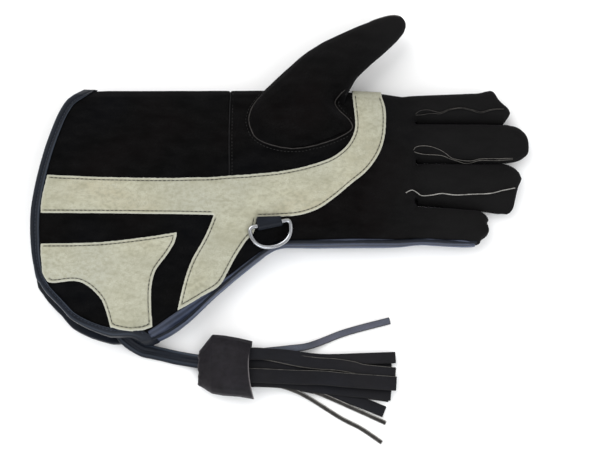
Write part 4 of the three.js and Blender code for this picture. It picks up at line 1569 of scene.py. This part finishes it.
@dataclass
class SideSeam:
    """Piping in the side seam, and the navy strip between it and the back of the glove."""

    node: str = "side_piping"
    radius: float = 1.5
    lift: float = 0.35
    leather: float = 0.9
    low: float = 2.4
    rows: int = 34
    ridges: tuple[Point, ...] = ((0.95, 0.3), (0.8, 0.32), (0.55, 0.22), (0.36, 0.26))
    # How bright the side band's painted highlights are along x.
    light: tuple[Point, ...] = ((-105, 0.45), (-85, 0.6), (-60, 1), (-20, 1.2), (0, 1))
    taper: tuple[float, ...] = (0.97, 0.92, 0.85, 0.76, 0.64, 0.48, 0.28)
    inner: tuple[Point, ...] = (
        (-112, -127), (-97.2, -119.2), (-78.6, -106.4), (-66.7, -97.9), (-56.2, -90), (-43.4, -80),
        (-33.7, -73), (-23.9, -65.4), (-10, -57.5), (12, -50.8), (60, -48.9), (110, -48.6), (160, -48.6),
    )

    def route(self) -> np.ndarray:
        """The piping's middle line, from the CAD piping's own slices.

        Returns:
            Points in millimetres.
        """
        points = coordinates(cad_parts[self.node]) / MM
        edges = np.linspace(points[:, 0].min(), points[:, 0].max(), 26)
        rows = []
        for a, b in zip(edges[:-1], edges[1:]):
            slab = points[(points[:, 0] >= a) & (points[:, 0] <= b)]
            if len(slab) > 3:
                rows.append(slab.mean(0))
        first = 2 * rows[0] - rows[1]
        last = rows[-1] + 0.9 * (rows[-1] - rows[-2])
        line = spline(np.array([first, *rows, last]), 2.0)
        return np.stack([softened(line[:, k], 4) for k in range(3)], axis=1)

    def build_piping(self, route: np.ndarray) -> bpy.types.Object:
        """A round cord of folded leather along the seam's middle line."""
        swell = 1 + 0.05 * np.sin(np.arange(len(route)) * 1.7)
        swell *= np.clip(0.3 + np.arange(len(route)) / 8, 0, 1)
        return drawn("navy_piping", route, radius=self.radius, radii=swell, sides=4)

    def profile(
        self, point: np.ndarray, out: np.ndarray, width: float, surface: Surface
    ) -> np.ndarray | None:
        """The shell's section across the side, from the back up to the band's inner edge.

        Args:
            point: The piping's place.
            out: The outward direction in plan.
            width: How far the band reaches in from the piping.
            surface: The suede shells.

        Returns:
            Evenly spaced points in millimetres, or nothing where the shell ends.
        """
        centre = np.array([*(point[:2] - 14 * out), 12.0])
        hits = []
        for angle in np.radians(np.arange(-48, 104, 2.0)):
            ray = np.array([*(math.cos(angle) * out), math.sin(angle)])
            hit = surface.from_side(tuple(centre + 60 * ray), tuple(-ray))
            if hit is None:
                continue
            place = np.array(hit) / MM
            depth = (point[:2] - place[:2]) @ out
            if place[2] < self.low or abs(place[2]) > 50 or depth > 40:
                continue
            if depth > width and place[2] > point[2]:
                break
            hits.append(place + self.lift * ray)
        if len(hits) < 5:
            return None
        line = np.array(hits)
        run = np.concatenate([[0], np.cumsum(np.linalg.norm(np.diff(line, axis=0), axis=1))])
        if np.diff(run).max() > 12:
            return None
        at = np.linspace(0, run[-1], self.rows)
        return np.stack([np.interp(at, run, line[:, k]) for k in range(3)], axis=1)

    def build_band(self, route: np.ndarray, surface: Surface) -> bpy.types.Object:
        """The smooth leather side, folded over onto the palm side, with its lengthwise ridges and painted
        highlights.

        Args:
            route: The piping's middle line.
            surface: The suede shells.

        Returns:
            The piece.
        """
        side = -sideways(route)
        inner = spline(self.inner, 1.0)
        grid = []
        for point, out in zip(route, side):
            along = np.array([out[1], -out[0]])
            nearest = inner[np.argmin(np.abs((inner - point[:2]) @ along))]
            width = max(1.5, (point[:2] - nearest) @ out)
            column = self.profile(point, out, width, surface)
            if column is not None:
                grid.append(column)
        rows = np.array(grid)
        for k in range(self.rows):
            for axis in range(3):
                rows[:, k, axis] = softened(rows[:, k, axis], 3)
        even_share = np.linspace(0, 1, self.rows)
        for i, narrower in enumerate(self.taper):
            at = 0.55 + (even_share - 0.55) * narrower
            column = rows[len(rows) - len(self.taper) + i]
            column[:] = np.stack([np.interp(at, even_share, column[:, k]) for k in range(3)], axis=1)
        piece = sheet_of("navy_side_band", rows)
        share = np.tile(even_share, len(rows))
        lift = sum(height * bell(share - at, 0.035) for at, height in self.ridges)
        facing = normals(piece)
        if (facing[:, 2] * (share > 0.8)).sum() < 0:
            facing = -facing
        points = coordinates(piece) + facing * lift[:, None] * MM
        place_vertices(piece, points)
        # Painted highlights: pale lines on the ridges and along the band's middle, brighter where the light
        # table says.
        lit = np.interp(points[:, 0] / MM, *zip(*self.light))
        pale = np.where(share > 0.7, 0.3, 0.5) * lift / 0.32 + 0.42 * bell(share - 0.5, 0.12)
        mark(piece, "edge", lit * pale)
        modify(piece, "SOLIDIFY", thickness=self.leather * MM, offset=0)
        edit(piece, (bpy.ops.mesh.normals_make_consistent, {"inside": False}))
        return piece

    def build(self, surface: Surface, finishes: Finishes) -> None:
        """Makes, dresses and hands over both pieces.

        Args:
            surface: The suede shells.
            finishes: The materials.
        """
        route = self.route()
        piping = self.build_piping(route)
        dress(piping, Slot.NAVY, finishes.navy)
        hand_over(piping, GLOVE, self.node)
        band = self.build_band(route, surface)
        dress(band, Slot.NAVY, finishes.side)
        hand_over(band, GLOVE)


# ----------------------------------------------------------------- seam welts


@dataclass
class Welt:
    """A seam sewn inside out: two cut edges that stand up side by side, apart where gap is wide.

    Each row of the route is x, y and the gap between the edges.
    """

    name: str
    route: tuple[Point3, ...]
    leather: float = 1.0
    height: float = 2.0
    sunk: float = 0.8
    waviness: float = 0.22
    double: bool = True
    edge: Rim = Rim.PLAIN

    def build(self, surface: Surface, materials: Sequence[bpy.types.Material]) -> bpy.types.Object:
        """Stands the edges on the surface.

        Args:
            surface: The suede shells.
            materials: The faces' material and the cut edges' material.

        Returns:
            The welt as one piece.
        """
        line = spline(self.route, 1.4)
        x, y, gaps = line.T
        side = sideways(line)
        ends = np.minimum(np.arange(len(line)), np.arange(len(line))[::-1])
        taper = 0.45 + 0.55 * np.clip(ends / 4, 0, 1)
        pieces = []
        for hand in (1, -1) if self.double else (0,):
            offset = hand * (np.clip(gaps, 0, None) / 2 + 0.55 * self.leather)
            offset += self.waviness * ripples(x / 6, y / 6, 5 + hand)
            plan = line[:, :2] + side * offset[:, None]
            heights = surface.heights(plan, 3) + self.height / 2 - self.sunk
            heights += 0.5 * self.waviness * ripples(x / 4, y / 4, 9 + hand)
            path = np.column_stack([plan, heights])
            pieces.append(ribbon(self.name, path, self.height, self.leather, 0, materials, taper))
        return joined(self.name, pieces)


@dataclass
class Seams:
    """All the visible seams of the hand."""

    welts: tuple[Welt, ...] = (
        Welt("index_welt", (
            (104.5, 50.4, 0.3), (108, 51.6, 2.4), (113.5, 52.4, 2.2), (119, 51.9, 0.6), (124, 51.6, 0.2),
            (132, 54.4, 0.1), (140, 55.4, 0.1), (148, 54.2, 0.1), (155.5, 52.6, 0.2), (163.5, 54.6, 0.1),
            (174, 56.3, 0.1),
        ), leather=0.5, edge=Rim.DIM),
        Welt("middle_welt", (
            (102.5, 20.8, 0.3), (105, 21.6, 3.6), (111, 21.6, 5), (118, 20.8, 4.2), (125, 19, 2),
            (131, 16.2, 0.5), (137, 14.6, 0.3), (143, 13.6, 0.3), (149, 14, 0.4), (155, 15.2, 0.4),
            (170, 15.4, 0.3), (180, 16.4, 0.1),
        ), leather=0.55),
        Welt("ring_welt", (
            (95.5, -13.8, 0.2), (100.5, -11.2, 1), (104.7, -12.4, 0.8), (108.5, -14.2, 0.2),
            (116, -13.8, 0.2), (124, -12.8, 0.3), (134, -13.8, 0.2), (146, -13.4, 0.2), (161, -12.8, 0.2),
            (172, -10, 0.3), (181, -7.4, 0.2),
        ), leather=0.75, double=False, edge=Rim.BRIGHT),
        Welt("thumb_tip_welt", (
            (69.1, 123.8, 0), (75.1, 126.6, 0), (82.1, 129, 0), (88.6, 130.1, 0), (92.6, 128.6, 0),
        ), height=1.5, double=False),
    )
    oval: tuple[Point3, ...] = (
        (-15, 62.5, 0), (-21.2, 54.9, 0), (-25.2, 44.4, 0), (-24.2, 36.6, 0), (-21.4, 30.4, 0),
        (-16.5, 25.9, 0), (-8.8, 22.4, 0), (1.2, 20, 0), (10, 19.4, 0), (18, 19.8, 0), (33.4, 23.6, 0),
        (47.2, 29.4, 0), (53.6, 34, 0), (54.6, 38, 0), (52, 42.6, 0), (45.5, 50, 0), (41.6, 55.5, 0),
        (41.9, 58.8, 0), (45.2, 62.6, 0), (49.2, 66.2, 0),
    )
    cuff_seam: tuple[Point3, ...] = (
        (-40.2, 67.6, 0), (-40.1, 60, 0), (-40.4, 30, 0), (-40, 0, 0), (-40.3, -30, 0), (-40.2, -52, 0),
        (-40.4, -70, 0), (-40.3, -78, 0),
    )

    def build(self, surface: Surface, finishes: Finishes) -> None:
        """Makes, dresses and hands over each seam.

        Args:
            surface: The suede shells.
            finishes: The materials.
        """
        oval = Welt("thumb_welt", self.oval, leather=0.85, height=2.0, sunk=1.05, double=False,
                    waviness=0.35, edge=Rim.DIM)
        cuff = Welt("cuff_seam", self.cuff_seam, leather=0.7, height=1.1, sunk=0.75, double=False,
                    waviness=0.1, edge=Rim.DARK)
        for welt in (*self.welts, oval, cuff):
            materials = (finishes.black, finishes.rims[welt.edge])
            piece = welt.build(surface, materials)
            dress(piece, Slot.BLACK, *materials)
            hand_over(piece, GLOVE)
        rows = []
        for route, beside in ((self.oval, -2.4), (self.cuff_seam, 2.2)):
            line = spline(route, 1.4)
            rows.append(line[:, :2] + sideways(line) * beside)
        thread = Stitching(length=2.0, pitch=2.8, thick=0.45, sink=0.2).sew("seam_stitches", rows, surface)
        dress(thread, Slot.BLACK, finishes.thread)
        hand_over(thread, GLOVE)


# ----------------------------------------------------------------- tether ring


@dataclass
class TetherRing:
    """The D-ring on its leather tab."""

    bar: Point3 = (-9.019, -40.26, 33.87)
    along: Point3 = (0.9693, 0.2238, -0.1019)
    away: Point3 = (-0.173, 0.9152, 0.364)
    half: float = 15.85
    depth: float = 17.7
    corner: float = 3.2
    wire: float = 3.2

    def loop(self) -> np.ndarray:
        """The wire's middle line in the ring's own plane, in millimetres."""
        half, depth, corner = self.half, self.depth, self.corner

        def curve(*control: Point) -> np.ndarray:
            """A Bezier stretch through its control points."""
            points = np.array(control, float)
            share = np.linspace(0, 1, 30)[:, None]
            while len(points) > 1:
                points = [a * (1 - share) + b * share for a, b in zip(points[:-1], points[1:])]
            return points[0]

        rows = np.vstack([
            curve((-half + corner, 0), (half - corner, 0)),
            curve((half - corner, 0), (half, 0), (half, -corner)),
            curve((half, -corner), (half, -depth * 0.75), (half * 0.55, -depth), (0, -depth)),
            curve((0, -depth), (-half * 0.55, -depth), (-half, -depth * 0.75), (-half, -corner)),
            curve((-half, -corner), (-half, 0), (-half + corner, 0)),
        ])
        return even(rows, 1.0)[:-1]

    def build_ring(self, finishes: Finishes) -> None:
        """Bends the ring from round wire."""
        basis = np.array([self.along, self.away])
        line = np.array(self.bar) + self.loop() @ basis
        ring = drawn("nickel_ring", line, radius=self.wire / 2, closed=True, sides=5)
        edit(ring, (bpy.ops.mesh.remove_doubles, {"threshold": 1e-6}))
        # Painted reflection: the faces across the ring's plane are painted darker.
        upward = np.abs(normals(ring) @ np.cross(self.along, self.away))
        mark(ring, "worn", np.clip((upward - 0.86) / 0.1, 0, 1) * 0.8)
        dress(ring, Slot.NICKEL, finishes.nickel)
        hand_over(ring, TETHER, "d_ring")

    def build_tab(self, finishes: Finishes) -> None:
        """Rounds the folded tab."""
        tab = copy_of("ring_tab", "navy_tab")
        round_over(tab, 0.45, 5)
        dress(tab, Slot.NAVY, finishes.navy)
        hand_over(tab, GLOVE, "ring_tab")


# ---------------------------------------------------------------------- tassel


class Cut(Enum):
    """Which of a strip's cut edges are pale."""

    DARK = "dark"
    LEFT = "left"
    BOTH = "both"


class Look(Enum):
    """What kind of leather a strip shows."""

    FLAT = "flat strip"
    LIT = "strip that catches the light"
    STRAND = "thin strand"


@dataclass
class Strip:
    """One strip of the fringe: plan points, its width, its level in the bundle and its tilt."""

    route: tuple[Point, ...]
    width: float
    level: float
    rest: float
    roll: float = 0.0
    cut: Cut = Cut.DARK
    look: Look = Look.FLAT


@dataclass
class Tassel:
    """A bundle of cut strips in a leather wrap, on two strands of thong."""

    thong: tuple[Point3, ...] = (
        (-124.74, -107.51, 9), (-123.26, -116.99, 10.2), (-119.56, -126.47, 9.8), (-105.5, -137.93, 4.6),
        (-87.44, -141.09, 3), (-73.38, -142.9, 4), (-62.43, -144.09, 5.8), (-53.4, -144.64, 6.2),
    )
    thong_width: float = 9.4
    strand: float = 2.5
    twist: float = math.pi / 8
    thong_length: float = 92
    strip_leather: float = 1.7
    mouth: float = -20
    fall: float = 62
    wave: float = 0.8
    bow: float = 4
    ragged: float = 0.9
    sag: tuple[Point, ...] = (
        (-125, 0), (-121, 2), (-111, 4.2), (-99.6, 5.6), (-88, 4.3), (-77, 3.3), (-62, 2.1), (-50, 1.9),
    )
    head_end: float = -27
    collar_shift: Point = (1.9, 0.9)
    strips: tuple[Strip, ...] = (
        Strip(((-30, -140), (0, -139), (40, -141), (84, -146)), 9, 6.6, 1.1),
        Strip(((-30, -148), (0, -149), (40, -153), (86, -158)), 10, 6.4, 1.1),
        Strip(((-30, -156), (0, -156.4), (40, -161.2), (82, -167.4)), 9.2, 6.6, 1.1),
        Strip(((-30, -157), (0, -157.4), (36, -164), (60, -172), (78.3, -179.4)), 8.6, 8.4, 1.2),
        Strip(((-30, -157), (0, -157.6), (40, -162), (83.4, -166.4)), 9.6, 10.6, 2.9),
        Strip(((-30, -145), (0, -146), (40, -148.6), (84, -153)), 10, 10.6, 2.9),
        Strip(((-30, -137), (0, -137.4), (30, -140), (62, -139.2), (87.2, -138.2)), 8.8, 13.6, 4.6, 0.04),
        Strip(((-30, -136.4), (-13, -136.7), (12, -141.3), (27, -143.1), (41, -143.9), (54.6, -146.1),
               (63, -148.4), (87, -150.8)), 9.2, 11.6, 6.2, 0, Cut.BOTH),
        Strip(((-30, -153.6), (-21, -153.6), (6, -154.4), (31, -154.6), (49, -156.2), (87.4, -158.8)),
              11, 14.6, 7.9, -0.03, Cut.LEFT),
        Strip(((-30, -136), (-16, -134.6), (6.5, -131.6), (22, -128.8), (48.7, -118.4), (83.4, -109)),
              5.4, 9, 1.1, 0.1, Cut.BOTH, Look.LIT),
        Strip(((-30, -155), (-16, -156), (-2, -158.4), (24.8, -164.2), (55.9, -177.4), (79.3, -188)),
              3.2, 8.6, 1.3, 0.3, Cut.BOTH, Look.STRAND),
        Strip(((-30, -156), (-16, -157.4), (-2, -160), (17.2, -167), (45.2, -184.2), (60.3, -192),
               (76.1, -202.8)), 3.2, 7.6, 1.3, 0.3, Cut.BOTH, Look.STRAND),
    )

    def middle_line(self, step: float) -> np.ndarray:
        """The thong's middle line, drawn to where it lies.

        Args:
            step: The distance between its points, in millimetres.

        Returns:
            Points in millimetres.
        """
        line = spline(self.thong, step)
        line[:, 1] += np.interp(line[:, 0], *zip(*self.sag))
        return line

    def build_thong(self, finishes: Finishes) -> bpy.types.Object:
        """Two strands pressed flat side by side, with a fold along one edge.

        Args:
            finishes: The materials.

        Returns:
            The thong.
        """
        line = self.middle_line(1.5)
        strand = self.strand
        side = sideways(line)
        run = np.linspace(0, 1, len(line))
        pieces = []
        for hand in (1, -1):
            roll = self.twist * np.sin(run * 3.3)
            shift = hand * (strand - 0.05) * np.cos(roll)
            path = line.copy()
            path[:, :2] += side * shift[:, None]
            path[:, 2] += hand * strand * 0.5 * np.sin(roll)
            path[:, 2] = np.maximum(path[:, 2], strand + 0.1)
            swell = 1 + 0.03 * np.sin(run * 31 + hand)
            pieces.append(drawn("navy_thong", path, radius=strand, radii=swell, sides=5))
        core = line.copy()
        core[:, 2] = np.maximum(core[:, 2], strand + 0.1)
        navy = [finishes.navy] * 2
        pieces.append(ribbon("navy_thong", core, 1.9 * strand, 1.5 * strand, math.pi / 2, navy))
        fold = line.copy()
        fold[:, :2] += side * (1.75 * strand)
        fold[:, 2] = np.maximum(fold[:, 2], strand) + 0.35 * strand
        pieces.append(drawn("navy_thong", fold, radius=0.45 * strand, sides=4))
        thong = joined("navy_thong", pieces)
        points = coordinates(thong) / MM
        nearest = np.argmin(np.hypot(points[:, :1] - line[:, 0], points[:, 1:2] - line[:, 1]), axis=1)
        out = np.einsum("ij,ij->i", points[:, :2] - line[nearest, :2], side[nearest])
        # Painted highlights: a pale line along the fold on the upper side, and a fainter one along the
        # other edge.
        lit = bell(out - 1.7 * strand, 0.6) * (points[:, 2] > line[nearest, 2])
        mark(thong, "edge", 0.9 * lit + 0.3 * bell(out + 1.2 * strand, 0.7))
        dress(thong, Slot.NAVY, finishes.navy)
        return thong

    def build_head(self, finishes: Finishes) -> bpy.types.Object:
        """The strips' fused heads, which fill the wrap.

        Args:
            finishes: The materials.

        Returns:
            The head, cut off inside the wrap's mouth.
        """
        head = copy_of("tassel_fringe", "fringe_head")
        plane = {"plane_co": (self.head_end * MM, 0, 0), "plane_no": (1, 0, 0)}
        edit(
            head,
            (bpy.ops.mesh.bisect, {**plane, "use_fill": True, "clear_outer": True}),
            (bpy.ops.mesh.normals_make_consistent, {"inside": False}),
        )
        points = coordinates(head)
        points[:, 1] += sum(self.collar_shift) / 2 * MM
        place_vertices(head, points)
        dress(head, Slot.BLACK, finishes.strip)
        return head

    def build_collar(self, finishes: Finishes) -> bpy.types.Object:
        """The wrap round the bundle's head, with pale cut rims.

        Args:
            finishes: The materials.

        Returns:
            The wrap.
        """
        wrap = copy_of("tassel_collar", "wrapped_collar")
        round_over(wrap, 0.6, 6)
        points = coordinates(wrap)
        x, y, z = (points / MM).T
        low, high = x.min(), x.max()
        bumps = ripples(x / 11, y / 11, z / 11)
        points[:, 2] += self.ragged * bumps * np.clip(z / 12 - 0.3, 0, 1) * MM
        across = np.clip((y - y.min()) / (y.max() - y.min()) * 2 - 1, -1, 1)
        points[:, 1] += np.interp(across, (-1, 1), self.collar_shift) * MM
        slack = np.clip((x - low) / (high - low) * 2 - 1, 0, 1)
        points[:, 0] -= self.bow * (1 - across**2) * slack * MM
        points[:, 0] += self.ragged * ripples(y / 3, z / 3, 4) * np.clip(1 - (x - low) / 9, 0, 1) * MM
        place_vertices(wrap, points)
        middle, half = (y.max() + y.min()) / 2, (y.max() - y.min()) / 2
        round_rim = (np.abs((y - middle) / half) ** 3 + np.abs(2 * z / z.max() - 1) ** 3) ** (1 / 3)
        cut = np.clip(1.2 - (high - x) / 0.9, 0, 1) * np.clip((round_rim - 0.8) / 0.08, 0, 1)
        mark(wrap, "edge", cut + 0.25 * np.clip(1 - (x - low) / 1.2, 0, 1))
        dress(wrap, Slot.BLACK, finishes.wrap)
        return wrap

    def build_strip(self, index: int, strip: Strip, finishes: Finishes) -> bpy.types.Object:
        """Lays one strip from the wrap down to the surface.

        Args:
            index: Its number in the bundle.
            strip: Its shape.
            finishes: The materials.

        Returns:
            The strip.
        """
        line = spline(strip.route, 2.0)
        drop = eased(np.clip((line[:, 0] - self.mouth) / self.fall, 0, 1))
        heights = strip.level + (strip.rest - strip.level) * drop
        heights += self.wave * ripples(line[:, 0] / 24, index * 3.7, 0.5) * drop
        tilt = math.pi / 2 + strip.roll
        half = self.strip_leather / 2 + abs(math.sin(strip.roll)) * strip.width / 2
        heights = np.maximum(heights, half + 0.05)
        path = np.column_stack([line, heights])
        name = f"fringe_strip_{index:02d}"
        face, pale = {
            Look.FLAT: (finishes.strip, finishes.rims[Rim.PLAIN]),
            Look.LIT: (finishes.lit_strip, finishes.rims[Rim.DIM]),
            Look.STRAND: (finishes.rims[Rim.DIM], finishes.rims[Rim.BRIGHT]),
        }[strip.look]
        piece = ribbon(name, path, strip.width, self.strip_leather, tilt, (face, pale))
        faces = piece.data.polygons
        slots = np.zeros(len(faces), dtype=np.int32)
        faces.foreach_get("material_index", slots)
        middles = np.zeros(len(faces) * 3)
        faces.foreach_get("center", middles)
        middles = middles.reshape(-1, 3) / MM
        side = sideways(line)
        nearest = np.argmin(np.hypot(middles[:, :1] - line[:, 0], middles[:, 1:2] - line[:, 1]), axis=1)
        left = np.einsum("ij,ij->i", middles[:, :2] - line[nearest], side[nearest]) > 0.3 * strip.width
        dark = (slots == 1) & (strip.cut is not Cut.BOTH) & ~(left & (strip.cut is Cut.LEFT))
        faces.foreach_set("material_index", np.where(dark, 2, slots))
        dress(piece, Slot.BLACK, face, pale, finishes.rims[Rim.DARK])
        return piece

    def build(self, finishes: Finishes) -> None:
        """Makes and hands over the whole tassel.

        Args:
            finishes: The materials.
        """
        thong = self.build_thong(finishes)
        hand_over(thong, GLOVE, "tassel_thong")
        collar = self.build_collar(finishes)
        hand_over(collar, GLOVE, "tassel_collar")
        fringe = [self.build_strip(i, strip, finishes) for i, strip in enumerate(self.strips, 1)]
        fringe.append(self.build_head(finishes))
        for i, piece in enumerate(fringe):
            hand_over(piece, GLOVE, *(["tassel_fringe"] if i == 0 else []))
        path = self.middle_line(3.0) * MM


# ---------------------------------------------------------------------- studio


@dataclass
class Studio:
    """The floor, the lights and the camera."""

    eye: Point3 = (11.9, -352.33, 1281.39)
    target: Point3 = (11.9, -37.83, 20)
    lens: float = 102.49
    room: float = 0.78

    def camera(self) -> None:
        """Stands the camera at the photograph's angle."""
        bpy.ops.object.camera_add(location=Vector(self.eye) * MM)
        camera = bpy.context.object
        aim = (Vector(self.target) - Vector(self.eye)).normalized()
        camera.rotation_euler = aim.to_track_quat("-Z", "Y").to_euler()
        camera.data.lens = self.lens
        camera.data.sensor_width = 36
        camera.data.clip_end = 20
        bpy.context.scene.camera = camera

    def lamp(self, place: Point3, size: float, power: float, tint: Point3 = (1, 1, 1)) -> None:
        """Hangs one soft square light that faces the glove.

        Args:
            place: Where it hangs, in metres.
            size: Its side in metres.
            power: Its power in watts.
            tint: Its colour.
        """
        bpy.ops.object.light_add(type="AREA", location=place)
        lamp = bpy.context.object
        lamp.rotation_euler = (-Vector(place)).to_track_quat("-Z", "Y").to_euler()
        lamp.data.size = size
        lamp.data.energy = power
        lamp.data.color = tint

    def floor(self) -> None:
        """Lays a plain pale floor."""
        bpy.ops.object.select_all(action="DESELECT")
        bpy.ops.mesh.primitive_plane_add(size=8, location=(0, 0, -0.0002))
        floor = bpy.context.object
        floor.name = "floor"
        paint = Paint("floor_paint")
        paint.surface(paint.noise(60, 1), 0.01, {"Base Color": (0.9, 0.9, 0.9), "Roughness": 0.9})
        floor.data.materials.append(paint.material)

    def lights(self) -> None:
        """Soft light from above and from the left, and a bright room."""
        bpy.context.scene.view_settings.view_transform = "Standard"
        world = bpy.context.scene.world or bpy.data.worlds.new("room")
        bpy.context.scene.world = world
        world.use_nodes = True
        background = world.node_tree.nodes["Background"]
        background.inputs["Color"].default_value = (1, 1, 1, 1)
        background.inputs["Strength"].default_value = self.room
        self.lamp((-0.9, 0.7, 1.5), 1.9, 24)
        self.lamp((0.9, -0.9, 1.6), 1.9, 16)
        self.lamp((0.1, -1.6, 0.7), 1.0, 12, (0.88, 0.94, 1))


def main() -> None:
    """Builds the glove in order."""
    logging.basicConfig(level=logging.INFO, format="%(name)s: %(message)s")
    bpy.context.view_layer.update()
    studio = Studio()
    studio.camera()
    finishes = Finishes()
    Tassel().build(finishes)
    studio.floor()
    studio.lights()
    hand = HandShell("hand_shell", "suede_hand")
    thumb = ThumbStall("thumb_stall", "suede_thumb")
    cuff = SuedeShell("gauntlet_cuff", "suede_cuff")
    seams = Seams()
    shells = [hand, thumb, cuff]
    forms = [shell.build() for shell in shells]
    palm = Surface([forms[0]])
    thumb.settle_base(forms[1], seams.oval, palm)
    forms[0] = joined(hand.name, [forms[0], Gusset().build(palm)])
    surface = Surface(forms)
    seams.build(surface, finishes)
    SideSeam().build(surface, finishes)
    for shell, form in zip(shells, forms):
        shell.finish(form, finishes)
    for overlay in (Overlay("palm_strap", "cream_strap"), Overlay("cuff_patch", "cream_patch")):
        overlay.finish(overlay.build(), finishes)
    binding = MouthBinding()
    binding.finish(binding.build(), finishes)
    ring = TetherRing()
    ring.build_ring(finishes)
    ring.build_tab(finishes)


if __name__ == "__main__":
    main()
